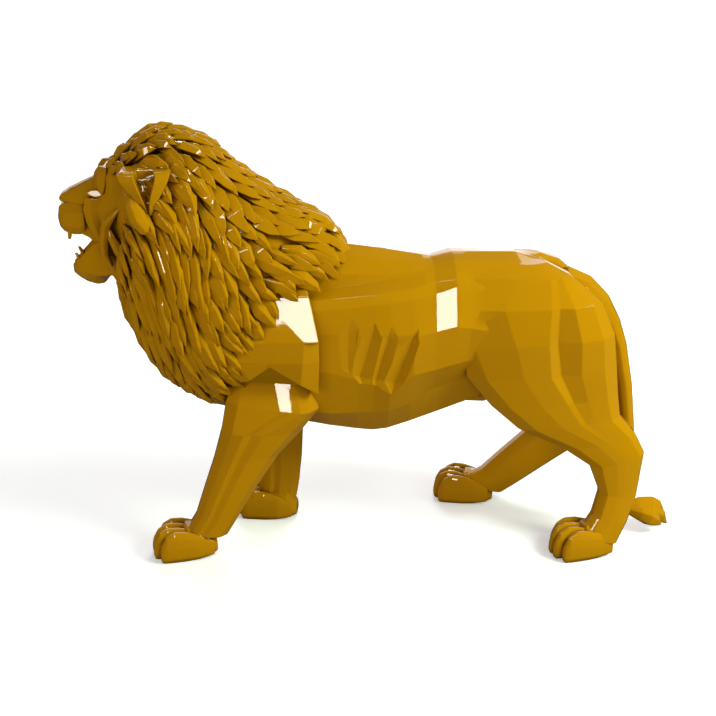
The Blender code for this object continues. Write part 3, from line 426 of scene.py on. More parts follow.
# A blade's rows are place, distance from the mid-plane, height, half width and height of its crest. Each
# blade has the direction it stands out in.
FACE_BLADES = {
    "cheekbone": ((-0.15, 0.98, -0.05),
                  ((-0.578, 0.049, 0.850, 0.016, 0.002), (-0.581, 0.050, 0.826, 0.019, 0.006),
                   (-0.576, 0.052, 0.800, 0.019, 0.009), (-0.564, 0.058, 0.768, 0.013, 0.009),
                   (-0.555, 0.064, 0.738, 0.005, 0.002))),
    "front_tuft": ((-0.10, 1.0, 0.0),
                   ((-0.514, 0.092, 0.838, 0.004, 0.002), (-0.532, 0.094, 0.819, 0.008, 0.006),
                    (-0.547, 0.092, 0.799, 0.011, 0.010), (-0.554, 0.089, 0.764, 0.011, 0.011),
                    (-0.554, 0.086, 0.730, 0.009, 0.008), (-0.540, 0.088, 0.708, 0.004, 0.002))),
    "rear_tuft": ((-0.10, 1.0, -0.1),
                  ((-0.545, 0.086, 0.800, 0.003, 0.002), (-0.536, 0.096, 0.774, 0.009, 0.007),
                   (-0.521, 0.103, 0.748, 0.013, 0.010), (-0.504, 0.106, 0.722, 0.011, 0.008),
                   (-0.486, 0.104, 0.698, 0.003, 0.001))),
    "jaw_tuft": ((-0.10, 1.0, -0.30),
                 ((-0.545, 0.074, 0.726, 0.008, 0.004), (-0.535, 0.082, 0.700, 0.014, 0.008),
                  (-0.518, 0.086, 0.672, 0.014, 0.009), (-0.498, 0.086, 0.640, 0.008, 0.005),
                  (-0.480, 0.082, 0.606, 0.003, 0.001))),
}
# How deep a blade's root goes into the head, and its width there as a share of the blade's.
BLADE_ROOT = 0.016
BLADE_ROOT_SHARE = 0.5
# The tongue is a blade too.
TONGUE = ((-0.520, 0.0, 0.728, 0.026, 0.008), (-0.565, 0.0, 0.722, 0.026, 0.009),
          (-0.595, 0.0, 0.708, 0.022, 0.007), (-0.612, 0.0, 0.694, 0.010, 0.002))

# An ear's rows are height, the places of its front rim's and its rear rim's two edges, the rim's distance
# from the mid-plane, and the depth of its hollow.
EAR = (
    (0.840, -0.450, -0.447, -0.444, -0.439, 0.168, 0.004),
    (0.866, -0.466, -0.452, -0.443, -0.428, 0.176, 0.014),
    (0.890, -0.484, -0.460, -0.438, -0.415, 0.181, 0.028),
    (0.912, -0.501, -0.468, -0.431, -0.403, 0.181, 0.042),
    (0.928, -0.508, -0.472, -0.428, -0.397, 0.178, 0.046),
    (0.934, -0.500, -0.471, -0.431, -0.403, 0.170, 0.042),
)
EAR_WALL = 0.016
EAR_RIM_SLOPE = 0.007
EAR_LOBE_PATH = ((-0.484, 0.150, 0.890), (-0.480, 0.164, 0.866), (-0.469, 0.172, 0.838),
                 (-0.453, 0.172, 0.814), (-0.428, 0.160, 0.796))
EAR_LOBE_RADII = (0.008, 0.018, 0.021, 0.017, 0.004)

# A tooth's row is its root and its tip. Its shape is share of its length and radius.
TEETH = (
    ((-0.633, 0.026, 0.784), (-0.635, 0.026, 0.753)),
    ((-0.611, 0.026, 0.694), (-0.624, 0.025, 0.721)),
)
TOOTH_SHAPE = ((0.0, 0.0056), (0.75, 0.0048), (1.0, 0.0034))

# The paint and the clear lacquer over it, as they are set on the shader.
LACQUER = {"Roughness": 0.07, "Specular IOR Level": 0.05, "Specular Tint": (1.0, 0.72, 0.12, 1.0),
           "Coat Weight": 1.0, "Coat Roughness": 0.02, "Coat IOR": 1.35}
# A darker colour painted into the valleys as shade, and the paint's own colour in the open.
PAINTED_SHADE_IN_VALLEYS = (0.150, 0.054, 0.0005, 1.0)
PAINT_IN_THE_OPEN = (0.46, 0.203, 0.001, 1.0)
# How far a valley is felt, how many rays feel for it, and the openness at which the paint starts and ends its
# change of colour into the painted shade.
VALLEY_REACH = 0.03
VALLEY_RAYS = 8
VALLEY_OPENNESS = (0.15, 0.75)
# The slow drift of the paint's value, and the lacquer's faint orange peel.
DRIFT_SCALE = 6.0
DRIFT_DETAIL = 3.0
DRIFT_VALUE = (0.94, 1.06)
PEEL_SCALE = 160.0
PEEL_STRENGTH = 0.03
PEEL_DEPTH = 0.001

# The camera: its distance from the point it looks at, its height above the level and its turn.
VIEW_AIM = np.array((0.0, -0.036, 0.46))
VIEW_DISTANCE = 3.06
VIEW_RISE = math.radians(21.5)
VIEW_TURN = math.radians(3.5)
VIEW_LENS = 66.82
FILM_WIDTH = 36.0

# The floor: how pale it is as seen, as it lights the lion and as it mirrors in the lacquer. It glows as
# seen, more from its near circle to its far one, so that it fades into the white room.
FLOOR_HALF_WIDTH = 20.0
FLOOR_SEEN = 0.90
FLOOR_FILL = 0.32
FLOOR_GLOSS = 0.06
FLOOR_FINISH = {"Roughness": 0.9, "Specular IOR Level": 0.1, "Emission Color": (1.0, 1.0, 1.0, 1.0)}
FLOOR_GLOW_REACH = (0.9, 3.5)
FLOOR_GLOW = (0.30, 0.75)

# The white room's brightness is 1 as seen, and less as it mirrors in the lacquer and as it lights the lion.
ROOM_GLOSS = 0.06
ROOM_FILL = 0.33

# A lamp's row is its place and the point it is turned to, in the figure's metres, its size and its power.
# The paint lamps light the paint, and the glint lamps only show as highlights in the lacquer.
LAMP_WHITE = (1.0, 1.0, 1.0)
KEY_COLOUR = (0.85, 1.0, 0.76)
PAINT_LAMPS = {
    "key": ((2.4, -1.15, 2.2), (0.0, 0.0, 0.5), (1.2, 1.2), 112, KEY_COLOUR),
    "low_fill": ((1.0, -2.6, 0.55), (-0.1, 0.0, 0.42), (1.2, 0.8), 13),
    "front_fill": ((-2.2, -2.0, 1.0), (-0.3, 0.0, 0.55), (1.4, 1.4), 20),
    "back_light": ((0.4, 2.2, 2.2), (0.0, 0.0, 0.5), (1.6, 1.2), 45),
}
GLINT_LAMPS = {
    "front_glint": ((-0.7, -3.2, 1.7), (0.0, -0.14, 0.60), (0.5, 0.5), 24),
    "high_glint": ((-1.3, -1.6, 2.6), (-0.2, 0.0, 0.6), (0.4, 0.4), 15),
    "top_glint": ((-0.9, 0.9, 2.9), (-0.3, 0.0, 0.7), (1.2, 0.12), 15),
    "over_glint": ((-0.5, -2.0, 2.9), (-0.2, 0.0, 0.6), (1.1, 0.12), 14),
    "rim_glint": ((-0.4, 2.9, 1.2), (-0.4, 0.0, 1.2), (4.4, 2.3), 42),
    "right_glint": ((2.8, -1.6, 1.9), (0.3, 0.0, 0.5), (0.22, 0.7), 14),
    "left_glint": ((-2.8, -1.2, 1.6), (-0.5, 0.0, 0.8), (0.18, 0.26), 3.0),
}


def doubled(points, back, onward, edge, axis):
    """Two points for each one: a step back from it and a step onward, as long as the edge's rounding."""
    steps = []
    for way in (back, onward):
        length = np.maximum(np.linalg.norm(way, axis=-1, keepdims=True), TINY)
        steps.append(points + way * np.minimum(edge / length, EDGE_LIMIT))
    pairs = np.stack(steps, axis)
    return pairs.reshape(points.shape[:axis] + (-1,) + points.shape[axis + 1:])


def shell(rings, edge):
    """A closed shell: quads between neighbouring rings and one cap on each end ring.

    Every edge is cut off by a narrow strip, which shades as its rounding. So each ring becomes two, and so
    does each corner of a ring.
    """
    rings = np.asarray(rings, dtype=float)
    middle = rings.mean(1, keepdims=True)
    onward = np.concatenate((rings[1:], middle[-1:] + 0 * rings[-1:])) - rings
    back = np.concatenate((middle[:1] + 0 * rings[:1], rings[:-1])) - rings
    rings = doubled(rings, back, onward, edge, -3)
    onward = np.roll(rings, -1, 1) - rings
    back = np.roll(rings, 1, 1) - rings
    rings = doubled(rings, back, onward, edge, -2)
    count, corners = rings.shape[:2]
    ring = np.arange(corners)
    following = (ring + 1) % corners
    start = np.arange(count - 1)[:, None] * corners
    further = start + corners
    quads = np.stack((start + ring, start + following, further + following, further + ring), -1)
    faces = quads.reshape(-1, 4).tolist()
    faces.append(ring[::-1].tolist())
    faces.append((ring + (count - 1) * corners).tolist())
    return rings.reshape(-1, 3), faces


def lined_shell(stations, lines, edge):
    """Rings with one corner on each line, mirrored over the mid-plane."""
    stations = np.array(stations)
    half = []
    for knots in lines.values():
        place, width, height = np.array(sorted(knots)).T
        half.append(np.stack((stations, np.interp(stations, place, width),
                              np.interp(stations, place, height)), -1))
    far = np.stack(half, 1)
    near = far[:, -2:0:-1] * (1, -1, 1)
    return shell(np.concatenate((far, near), 1), edge)


def tube(path, radii, corners, edge):
    """Round rings about a path, square to its course as seen from the side."""
    path = np.array(path)
    radii = np.array(radii)[:, None]
    course = np.gradient(path[:, (0, 2)], axis=0)
    course /= np.linalg.norm(course, axis=1)[:, None]
    turn = np.linspace(0.0, 2 * math.pi, corners, endpoint=False)
    x = path[:, 0:1] - course[:, 1:2] * radii * np.cos(turn)
    y = path[:, 1:2] + radii * np.sin(turn)
    z = path[:, 2:3] + course[:, 0:1] * radii * np.cos(turn)
    return shell(np.stack((x, y, z), -1), edge)


def trunk_half_width(place, height):
    """Half width of the trunk at a place along it and a height, read from the trunk's lines."""
    heights = []
    widths = []
    for knots in TRUNK_LINES.values():
        along, width, rise = np.array(knots).T
        heights.append(np.interp(place, along, rise))
        widths.append(np.interp(place, along, width))
    return np.interp(height, heights[::-1], widths[::-1])


def groove(rows, side):
    """The wedge that a groove leaves out: two walls that meet at its floor, and a point outside the skin."""
    rings = []
    for left_x, left_z, floor_x, floor_z, right_x, right_z, depth in rows:
        middle_x = (left_x + right_x) / 2
        middle_z = (left_z + right_z) / 2
        corners = ((left_x, left_z, 0.0), (floor_x, floor_z, -depth), (right_x, right_z, 0.0),
                   (middle_x, middle_z, GROOVE_CLEARANCE))
        rings.append([(x, side * (trunk_half_width(x, z) + out), z) for x, z, out in corners])
    return shell(rings, GROOVE_EDGE)


def limb(rows, profiles, side, arch=None):
    """Rings from hip or shoulder to paw: the profile runs front to rear outside and back again inside.

    The profiles belong to some rows, by number, and the rows between them have a blend of two. An arch
    lifts the last ring, by a height for each point of its profile.
    """
    front_x, front_z, rear_x, rear_z, middle, half = np.array(rows).T[:, :, None]
    marks = np.array(list(profiles))
    shapes = np.array(list(profiles.values()))
    here = np.interp(np.arange(len(rows)), marks, np.arange(len(marks)))
    before = np.floor(here).astype(int)
    after = np.ceil(here).astype(int)
    shape = shapes[before] + (shapes[after] - shapes[before]) * (here - before)[:, None, None]
    along = np.concatenate((shape[..., 0], shape[:, ::-1, 0]), 1)
    out = np.concatenate((shape[..., 1], -INNER_SIDE_FULLNESS * shape[:, ::-1, 1]), 1)
    x = front_x + (rear_x - front_x) * along
    z = front_z + (rear_z - front_z) * along
    y = side * (middle + half * out)
    if arch:
        z[-1] += arch + arch[::-1]
    return shell(np.stack((x, y, z), -1), BODY_EDGE)


def paw_part(rows, paw, sideways, half_width, stagger):
    """Rings of the paw's section, turned outwards by the paw's splay: a toe or the heel."""
    side, tip, middle, splay = paw
    turn = math.radians(splay)
    along, wide, floor, top = np.array(rows).T[:, :, None]
    out, rise = np.array(PAW_SECTION).T
    back = (along + stagger) * PAW_LENGTH + 0 * out
    outward = sideways + wide * half_width * out
    x = tip + back * math.cos(turn) + outward * math.sin(turn)
    y = middle + outward * math.cos(turn) + (PAW_LENGTH / 2 - back) * math.sin(turn)
    z = (floor + (top - floor) * rise) * PAW_HEIGHT
    return shell(np.stack((x, side * y, z), -1), PAW_EDGE)


def paw_parts(paw):
    """Toes side by side, the outer ones set back, and the heel behind them."""
    toe_half = PAW_WIDTH / TOE_COUNT / 2 * TOE_OVERLAP
    reach = PAW_WIDTH / 2 - toe_half
    parts = []
    for share in np.linspace(-1.0, 1.0, TOE_COUNT):
        stagger = TOE_STAGGER * share * share
        parts.append(paw_part(TOE_ROWS, paw, share * reach, toe_half, stagger))
    parts.append(paw_part(HEEL_ROWS, paw, 0.0, PAW_WIDTH / 2, 0.0))
    return parts


def along_line(knots, shares):
    """Points of a polyline at shares of its length, carried straight on past both ends."""
    knots = np.array(knots)
    steps = np.linalg.norm(np.diff(knots, axis=0), axis=1)
    length = np.concatenate(((0.0,), np.cumsum(steps)))
    inside = np.clip(shares, 0.0, 1.0)
    point = np.stack([np.interp(inside, length / length[-1], column) for column in knots.T], -1)
    slopes = np.diff(knots, axis=0) / steps[:, None] * length[-1]
    beyond = (shares - inside)[..., None]
    return point + np.where(beyond > 0, slopes[-1], slopes[0]) * beyond


def mane_surface(angle, share):
    """The mane's skin: slanting ovals between its top line and its bottom line, as wide as its half width."""
    share = share * (1 - MANE_SIDE_RECESS * np.sin(angle) ** 2)
    top = along_line(MANE_TOP, share)
    bottom = along_line(MANE_BOTTOM, share)
    place, half = np.array(MANE_HALF_WIDTH).T
    middle = (top + bottom) / 2
    reach = (top - bottom) / 2
    reach = reach * (1 - MANE_RELIEF / np.linalg.norm(reach, axis=-1, keepdims=True))
    up = np.sign(np.cos(angle)) * np.abs(np.cos(angle)) ** MANE_CROWN_FULLNESS
    out = np.sign(np.sin(angle)) * np.abs(np.sin(angle)) ** MANE_SIDE_FULLNESS
    x = middle[..., 0] + reach[..., 0] * up
    z = middle[..., 1] + reach[..., 1] * up
    return np.stack((x, (np.interp(share, place, half) - MANE_RELIEF) * out, z), -1)


def unit(vectors):
    """Each vector divided by its own length."""
    return vectors / np.maximum(np.linalg.norm(vectors, axis=-1, keepdims=True), TINY)


def dot(one, other):
    """The sum of the products of two vectors' components, for each pair of vectors."""
    return (one * other).sum(-1, keepdims=True)


def mane_slopes(angle, share):
    """The skin's slopes around and along, and the direction square to both, which points outwards."""
    step = 0.01
    around = (mane_surface(angle + step, share) - mane_surface(angle - step, share)) / (2 * step)
    along = (mane_surface(angle, share + step) - mane_surface(angle, share - step)) / (2 * step)
    return around, along, unit(np.cross(along, around))


def mane_skin():
    """The mass under the locks: rings of the mane's surface, sunk square to it."""
    shares = np.linspace(0.0, MANE_SKIN_LAST_SHARE, MANE_SKIN_ROWS)[:, None]
    angles = np.linspace(0.0, 2 * math.pi, MANE_SKIN_CORNERS, endpoint=False)[None]
    shares, angles = np.broadcast_arrays(shares, angles)
    normal = mane_slopes(angles, shares)[2]
    return shell(mane_surface(angles, shares) - normal * MANE_SKIN_DEPTH, LOCK_EDGE)


def lock_course(angle, share):
    """The way a lock grows: from face to withers, swept down on both sides of the parting."""
    around, along, normal = mane_slopes(angle, share)
    sweep = np.interp(np.degrees(np.abs(angle)), *np.array(LOCK_SWEEP).T) * np.sign(angle)
    return around, along, normal, unit(unit(along) + sweep[:, None] * unit(around))


def lock_growth(angle, share):
    """Size of a lock: small at the face, full from a third of the way on, larger at the mane's foot."""
    low = np.clip(-np.cos(angle), 0.0, 1.0)
    return np.interp(share, *np.array(LOCK_GROWTH).T) * (1 + LOCK_FOOT_GROWTH * low)


def lock_roots(draw):
    """Angle and share of every lock's root: drawn at random, and kept where no kept root is too close.

    Closeness is an ellipse that lies along the locks, as long and as wide as one lock's own bit of skin.
    The roots are tried from the face to the withers, so that they pack as closely as scales do.
    """
    angle = draw.uniform(-math.pi, math.pi, LOCK_TRIES)
    start = np.interp(np.degrees(np.abs(angle)), *np.array(LOCK_START).T)
    share = draw.uniform(start, LOCK_LAST_SHARE)
    order = np.argsort(share)
    angle = angle[order]
    share = share[order]
    point = mane_surface(angle, share)
    course = lock_course(angle, share)[3]
    grown = lock_growth(angle, share)
    kept = []
    for trial in range(LOCK_TRIES):
        gap = point[kept] - point[trial]
        onward = gap @ course[trial]
        sideways = np.sqrt(np.maximum((gap ** 2).sum(1) - onward ** 2, 0.0))
        size = (grown[kept] + grown[trial]) / 2
        if np.all(np.hypot(onward / (LOCK_SPACING * size), sideways / (LOCK_PITCH * size)) > 1.0):
            kept.append(trial)
    return angle[kept], share[kept]


def mane_locks():
    """Leaf-shaped locks that follow the skin, each with a crest, two upper facets and a buried underside.

    A lock's course, turned a little at random, is walked in the skin's own angle and share, so that the
    lock hugs the skin. Its root dives under the skin and its tip stands off it, over the next locks.
    """
    draw = np.random.default_rng(MANE_SEED)
    angle, share = lock_roots(draw)
    around, along, normal, course = lock_course(angle, share)
    twist = draw.normal(0.0, 1.0, angle.shape)[:, None] * LOCK_TWIST
    course = course * np.cos(twist) + np.cross(normal, course) * np.sin(twist)
    grown = lock_growth(angle, share)
    length = LOCK_LENGTH * grown * draw.uniform(*LOCK_SPREAD, angle.shape)
    half = LOCK_HALF_WIDTH * grown * draw.uniform(*LOCK_SPREAD, angle.shape)
    step_around = (dot(course, around) / dot(around, around))[:, 0] * length
    step_along = (dot(course, along) / dot(along, along))[:, 0] * length

    run, wide, crest, lift = np.array(LOCK_SHAPE).T
    at_angle = angle[:, None] + step_around[:, None] * run
    at_share = share[:, None] + step_along[:, None] * run
    skin = mane_surface(at_angle, at_share)
    square = mane_slopes(at_angle, at_share)[2]
    course = unit(np.gradient(skin, axis=1))
    sideways = unit(np.cross(square, course))
    raised = (lift + draw.uniform(*LOCK_LIFT_SPREAD, angle.shape)[:, None])[..., None] * square
    lean = draw.normal(LOCK_LEAN, LOCK_LEAN_SPREAD, angle.shape)
    lean = lean * np.clip(LOCK_LEAN_ONSET * np.sin(angle), -1.0, 1.0)
    skew = np.clip(-lean, -LOCK_LEAN_LIMIT, LOCK_LEAN_LIMIT)[:, None, None]
    reach = (wide * half[:, None])[..., None]
    middle = skin + raised
    left = middle - sideways * reach
    right = middle + sideways * reach
    ridge = middle + sideways * reach * skew + square * (crest * LOCK_CREST)[None, :, None]
    sunk = LOCK_UNDERSIDE * (LOCK_UNDERSIDE_ENDS + (1 - LOCK_UNDERSIDE_ENDS) * wide)
    under = middle - square * sunk[None, :, None]
    return [shell(rings, LOCK_EDGE) for rings in np.stack((left, ridge, right, under), 2)]


def ear(side):
    """A cup that opens outwards: two flat rims that meet at its foot, a hollow between them and a wall."""
    height, front, front_inner, rear_inner, rear, rim, depth = np.array(EAR).T
    low = rim - EAR_RIM_SLOPE
    floor_y = rim - depth
    back = floor_y - EAR_WALL
    x = np.stack((front, front_inner, front_inner, rear_inner, rear_inner, rear, rear, front), 1)
    y = np.stack((low, rim, floor_y, floor_y, rim, low, back, back), 1)
    return shell(np.stack((x, side * y, height[:, None] + 0 * x), -1), HEAD_EDGE)


def blade(rows, outward, edge):
    """A bar along a path: two facets on either side of its crest and, below them, a root in the head."""
    rows = np.array(rows)
    path = rows[:, :3]
    half = rows[:, 3:4]
    crest = rows[:, 4:5]
    course = unit(np.gradient(path, axis=0))
    sideways = unit(np.cross(course, outward))
    up = unit(np.cross(sideways, course))
    reach = sideways * half
    root = reach * BLADE_ROOT_SHARE
    ring = (path - reach, path + up * crest, path + reach, path + root - up * BLADE_ROOT,
            path - root - up * BLADE_ROOT)
    return shell(np.stack(ring, 1), edge)


def muzzle_pad(side):
    """One half of the upper lip, from its front to the cheek."""
    place, out, top, bottom = np.array(PAD_ROWS).T[:, :, None]
    wide, rise = np.array(PAD_SECTION).T
    y = side * out * wide
    return shell(np.stack((place + 0 * y, y, bottom + (top - bottom) * rise), -1), HEAD_EDGE)


def eye(side):
    """Layers of the almond outline, from its root in the head to its flat face."""
    facing = unit(np.array(EYE_FACING))
    along = unit(np.cross(UP, facing))
    rise = np.cross(facing, along)
    share, lift = np.array(EYE_OUTLINE).T[:, :, None]
    outline = along * share * EYE_HALF_LENGTH + rise * lift * EYE_HALF_HEIGHT
    depth, size = np.array(EYE_LAYERS).T[:, :, None, None]
    return shell((EYE_PLACE + outline * size + facing * depth) * (1, side, 1), TOOTH_EDGE)


def brow(side):
    """A wedge over the eye: a broad facet before its crest, a narrow one behind it and a root in the head."""
    height, front_x, front_y, crest_x, crest_y, rear_x, rear_y = np.array(BROW).T
    root_x, root_y = BROW_ROOT
    x = np.stack((front_x, crest_x, rear_x, root_x + 0 * height), 1)
    y = np.stack((front_y, crest_y, rear_y, root_y + 0 * height), 1)
    return shell(np.stack((x, side * y, height[:, None] + 0 * x), -1), HEAD_EDGE)


def tooth(root, tip):
    """A cone with a slightly full middle."""
    turn = np.linspace(0.0, 2 * math.pi, LOCK_CORNERS, endpoint=False)
    circle = np.stack((np.cos(turn), np.sin(turn), 0 * turn), -1)
    share, radius = np.array(TOOTH_SHAPE).T[:, :, None]
    places = root + (tip - root) * share
    return shell(places[:, None] + circle * radius[:, None], TOOTH_EDGE)


def head():
    """Skull, nose, jaw and tongue, and each side's muzzle pad, eye, brow, cheek, tufts, ear and teeth."""
    pieces = [lined_shell(SKULL_STATIONS, SKULL_LINES, HEAD_EDGE),
              lined_shell(NOSE_STATIONS, NOSE_LINES, HEAD_EDGE),
              lined_shell(JAW_STATIONS, JAW_LINES, HEAD_EDGE),
              blade(TONGUE, UP, HEAD_EDGE)]
    for side in (NEAR, FAR):
        mirror = np.array((1, side, 1))
        pieces += [muzzle_pad(side), eye(side), brow(side)]
        for outward, rows in FACE_BLADES.values():
            pieces.append(blade(rows * np.array((1, side, 1, 1, 1)), outward * mirror, HEAD_EDGE))
        pieces.append(tube(EAR_LOBE_PATH * mirror, EAR_LOBE_RADII, ROUND_CORNERS, HEAD_EDGE))
        pieces.append(ear(side))
        for root, tip in TEETH:
            pieces.append(tooth(root * mirror, tip * mirror))
    return pieces


def solid(name, form, group):
    """A form as an object with its faces outwards, set from the figure's own metres into the frame."""
    points, faces = form
    mesh = bpy.data.meshes.new(name)
    mesh.from_pydata((points + FIGURE_PLACE).tolist(), [], faces)
    shape = bmesh.new()
    shape.from_mesh(mesh)
    bmesh.ops.recalc_face_normals(shape, faces=shape.faces[:])
    shape.to_mesh(mesh)
    shape.free()
    body = bpy.data.objects.new(name, mesh)
    group.objects.link(body)
    return body


def settle(body):
    """Replaces a body's mesh with what its modifiers make of it."""
    bpy.context.view_layer.update()
    graph = bpy.context.evaluated_depsgraph_get()
    mesh = bpy.data.meshes.new_from_object(body.evaluated_get(graph))
    body.modifiers.clear()
    body.data = mesh


def combine(whole, forms, operation):
    """Joins the forms to a body, or carves them out of it."""
    others = bpy.data.collections.new("forms")
    bpy.context.scene.collection.children.link(others)
    for form in forms:
        solid("form", form, others)
    step = whole.modifiers.new("combine", "BOOLEAN")
    step.operation = operation
    step.operand_type = "COLLECTION"
    step.collection = others
    step.solver = "MANIFOLD"
    settle(whole)
    for form in list(others.objects):
        bpy.data.objects.remove(form, do_unlink=True)
    bpy.data.collections.remove(others)


def fill_pockets(body):
    """Keeps the outer skin alone, so that the small pockets behind ears and locks are filled."""
    shape = bmesh.new()
    shape.from_mesh(body.data)
    skins = []
    waiting = set(shape.faces)
    while waiting:
        skin = {waiting.pop()}
        front = list(skin)
        while front:
            around = {face for side in front.pop().edges for face in side.link_faces} & waiting
            waiting -= around
            skin |= around
            front.extend(around)
        skins.append(skin)
    outer = max(skins, key=len)
    pockets = [face for skin in skins if skin is not outer for face in skin]
    bmesh.ops.delete(shape, geom=pockets, context="FACES")
    shape.to_mesh(body.data)
    shape.free()


def body_forms():
    """The broad forms: trunk, legs, shoulders and tail."""
    return [lined_shell(TRUNK_STATIONS, TRUNK_LINES, BODY_EDGE),
            tube(SHEATH_PATH, SHEATH_RADII, ROUND_CORNERS, BODY_EDGE),
            limb(FORELEG_NEAR, FORELEG_PROFILES, NEAR),
            limb(FORELEG_FAR, FORELEG_PROFILES, FAR),
            limb(HINDLEG_NEAR, HINDLEG_PROFILES, NEAR),
            limb(HINDLEG_FAR, HINDLEG_PROFILES, FAR),
            limb(SHOULDER, SHOULDER_PROFILES, NEAR, SHOULDER_ARCH),
            limb(SHOULDER, SHOULDER_PROFILES, FAR, SHOULDER_ARCH),
            tube(TAIL_PATH, TAIL_RADII, ROUND_CORNERS, PAW_EDGE)]


def fine_forms():
    """The fine forms: mane, head, toes and tuft."""
    forms = [mane_skin()]
    forms.extend(mane_locks())
    forms.extend(head())
    for row in PAWS:
        forms.extend(paw_parts(row))
    for path in TUFT_LOCKS:
        forms.append(tube(path, TUFT_RADII, LOCK_CORNERS, HEAD_EDGE))
    return forms


def set_inputs(node, values):
    """Sets a node's inputs by their names."""
    for name, value in values.items():
        node.inputs[name].default_value = value
    return node


def grey(value):
    """A colour without a hue."""
    return (value, value, value, 1.0)


def colour_mix(nodes, first, second):
    """A node that goes from the first colour to the second."""
    mix = nodes.new("ShaderNodeMix")
    mix.data_type = "RGBA"
    return set_inputs(mix, {"A": first, "B": second})


def carried_over(nodes, links, value, reach, result):
    """A value carried over from one range to another, in proportion."""
    node = set_inputs(nodes.new("ShaderNodeMapRange"), {"From Min": reach[0], "From Max": reach[1],
                                                        "To Min": result[0], "To Max": result[1]})
    links.new(value, node.inputs["Value"])
    return node.outputs["Result"]


def product(nodes, links, first, second):
    """Two values multiplied."""
    node = nodes.new("ShaderNodeMath")
    node.operation = "MULTIPLY"
    links.new(first, node.inputs[0])
    links.new(second, node.inputs[1])
    return node.outputs["Value"]


def gold_lacquer():
    """Ochre gold paint with shade painted darker into the valleys, drifting in value, under a thick clear
    lacquer.
    """
    material = bpy.data.materials.new("gold_lacquer")
    material.use_nodes = True
    nodes = material.node_tree.nodes
    links = material.node_tree.links
    shader = set_inputs(nodes["Principled BSDF"], LACQUER)
    # The valleys' shade is painted into the paint's colour, by how enclosed the surface is.
    valley = set_inputs(nodes.new("ShaderNodeAmbientOcclusion"), {"Distance": VALLEY_REACH})
    valley.samples = VALLEY_RAYS
    openness = carried_over(nodes, links, valley.outputs["AO"], VALLEY_OPENNESS, WHOLE)
    paint_and_shade = colour_mix(nodes, PAINTED_SHADE_IN_VALLEYS, PAINT_IN_THE_OPEN)
    links.new(openness, paint_and_shade.inputs["Factor"])
    place = nodes.new("ShaderNodeTexCoord")
    drift = set_inputs(nodes.new("ShaderNodeTexNoise"), {"Scale": DRIFT_SCALE, "Detail": DRIFT_DETAIL})
    links.new(place.outputs["Object"], drift.inputs["Vector"])
    shade = carried_over(nodes, links, drift.outputs["Fac"], WHOLE, DRIFT_VALUE)
    tint = nodes.new("ShaderNodeHueSaturation")
    links.new(shade, tint.inputs["Value"])
    links.new(paint_and_shade.outputs["Result"], tint.inputs["Color"])
    links.new(tint.outputs["Color"], shader.inputs["Base Color"])
    peel = set_inputs(nodes.new("ShaderNodeTexNoise"), {"Scale": PEEL_SCALE})
    links.new(place.outputs["Object"], peel.inputs["Vector"])
    bump = set_inputs(nodes.new("ShaderNodeBump"), {"Strength": PEEL_STRENGTH, "Distance": PEEL_DEPTH})
    links.new(peel.outputs["Fac"], bump.inputs["Height"])
    links.new(bump.outputs["Normal"], shader.inputs["Normal"])
    links.new(bump.outputs["Normal"], shader.inputs["Coat Normal"])
    return material


def cast_lion():
    """The whole casting, finished and set on its body in the frame."""
    forms = body_forms() + fine_forms()
    lion = solid("lion_cast", forms[0], bpy.context.collection)
    combine(lion, forms[1:], "UNION")
    cutters = [groove(rows, side) for rows in GROOVES for side in (NEAR, FAR)]
    combine(lion, cutters, "DIFFERENCE")
    fill_pockets(lion)
    lion.data.materials.clear()
    lion.data.materials.append(gold_lacquer())
    lion.data.shade_smooth()
    lion.data.set_sharp_from_angle(angle=SHARP_FROM)
    even = lion.modifiers.new("even_shade", "WEIGHTED_NORMAL")
    even.keep_sharp = True
    settle(lion)
    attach(lion, "root")
    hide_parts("lion")


def floor():
    """A pale studio floor that fades into the white room."""
    half = FLOOR_HALF_WIDTH
    corners = [(-half, -half, 0), (half, -half, 0), (half, half, 0), (-half, half, 0)]
    mesh = bpy.data.meshes.new("studio_floor")
    mesh.from_pydata(corners, [], [(0, 1, 2, 3)])
    ground = bpy.data.objects.new("studio_floor", mesh)
    bpy.context.collection.objects.link(ground)
    material = bpy.data.materials.new("pale_floor")
    material.use_nodes = True
    nodes = material.node_tree.nodes
    links = material.node_tree.links
    shader = set_inputs(nodes["Principled BSDF"], FLOOR_FINISH)
    ray = nodes.new("ShaderNodeLightPath")
    unseen = colour_mix(nodes, grey(FLOOR_FILL), grey(FLOOR_GLOSS))
    links.new(ray.outputs["Is Glossy Ray"], unseen.inputs["Factor"])
    paleness = colour_mix(nodes, grey(FLOOR_FILL), grey(FLOOR_SEEN))
    links.new(unseen.outputs["Result"], paleness.inputs["A"])
    links.new(ray.outputs["Is Camera Ray"], paleness.inputs["Factor"])
    links.new(paleness.outputs["Result"], shader.inputs["Base Color"])
    place = nodes.new("ShaderNodeTexCoord")
    away = nodes.new("ShaderNodeVectorMath")
    away.operation = "LENGTH"
    links.new(place.outputs["Object"], away.inputs[0])
    glow = carried_over(nodes, links, away.outputs["Value"], FLOOR_GLOW_REACH, FLOOR_GLOW)
    seen = product(nodes, links, glow, ray.outputs["Is Camera Ray"])
    links.new(seen, shader.inputs["Emission Strength"])
    ground.data.materials.append(material)


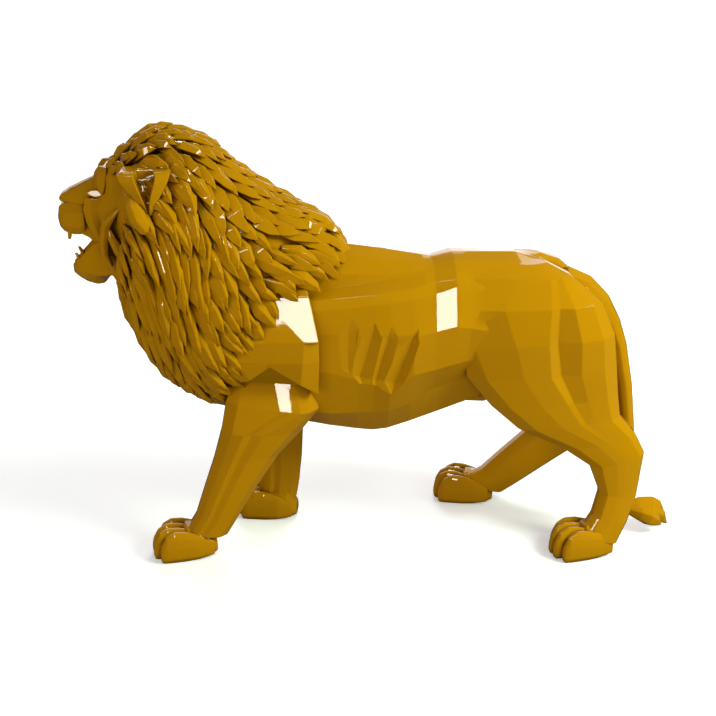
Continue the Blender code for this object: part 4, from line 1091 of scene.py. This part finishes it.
def softbox(name, mirrored, place, aim, size, power, colour=LAMP_WHITE):
    """A rectangular lamp at a place, turned to a point on the figure.

    A mirrored lamp is only seen as a highlight in the lacquer. The others only light the paint.
    """
    lamp = bpy.data.lights.new(name, "AREA")
    lamp.shape = "RECTANGLE"
    lamp.size, lamp.size_y = size
    lamp.energy = power
    lamp.color = colour
    holder = bpy.data.objects.new(name, lamp)
    bpy.context.collection.objects.link(holder)
    holder.location = Vector(np.array(place) + FIGURE_PLACE)
    course = Vector(aim) - Vector(place)
    holder.rotation_euler = course.to_track_quat("-Z", "Y").to_euler()
    holder.visible_camera = False
    holder.visible_glossy = mirrored
    holder.visible_diffuse = not mirrored


def studio():
    """A soft white room, wide lamps that light the paint and lamps that mirror in the lacquer."""
    world = bpy.data.worlds.new("studio")
    bpy.context.scene.world = world
    world.use_nodes = True
    nodes = world.node_tree.nodes
    links = world.node_tree.links
    back = set_inputs(nodes["Background"], {"Color": grey(1.0)})
    ray = nodes.new("ShaderNodeLightPath")
    mirrored = carried_over(nodes, links, ray.outputs["Is Glossy Ray"], WHOLE, (1.0, ROOM_GLOSS))
    lit = carried_over(nodes, links, ray.outputs["Is Diffuse Ray"], WHOLE, (1.0, ROOM_FILL))
    links.new(product(nodes, links, mirrored, lit), back.inputs["Strength"])
    for name, row in PAINT_LAMPS.items():
        softbox(name, False, *row)
    for name, row in GLINT_LAMPS.items():
        softbox(name, True, *row)


def camera():
    """The photograph's own view: back from its aim, along a line that rises and turns."""
    level = math.cos(VIEW_RISE)
    back = np.array((-math.sin(VIEW_TURN) * level, -math.cos(VIEW_TURN) * level, math.sin(VIEW_RISE)))
    lens = bpy.data.cameras.new("camera")
    lens.sensor_width = FILM_WIDTH
    lens.lens = VIEW_LENS
    holder = bpy.data.objects.new("camera", lens)
    bpy.context.collection.objects.link(holder)
    holder.location = Vector(VIEW_AIM + back * VIEW_DISTANCE + FIGURE_PLACE)
    holder.rotation_euler = Vector(-back).to_track_quat("-Z", "Y").to_euler()
    bpy.context.scene.camera = holder
    bpy.context.scene.view_settings.view_transform = "Standard"


camera()
studio()
floor()
cast_lion()
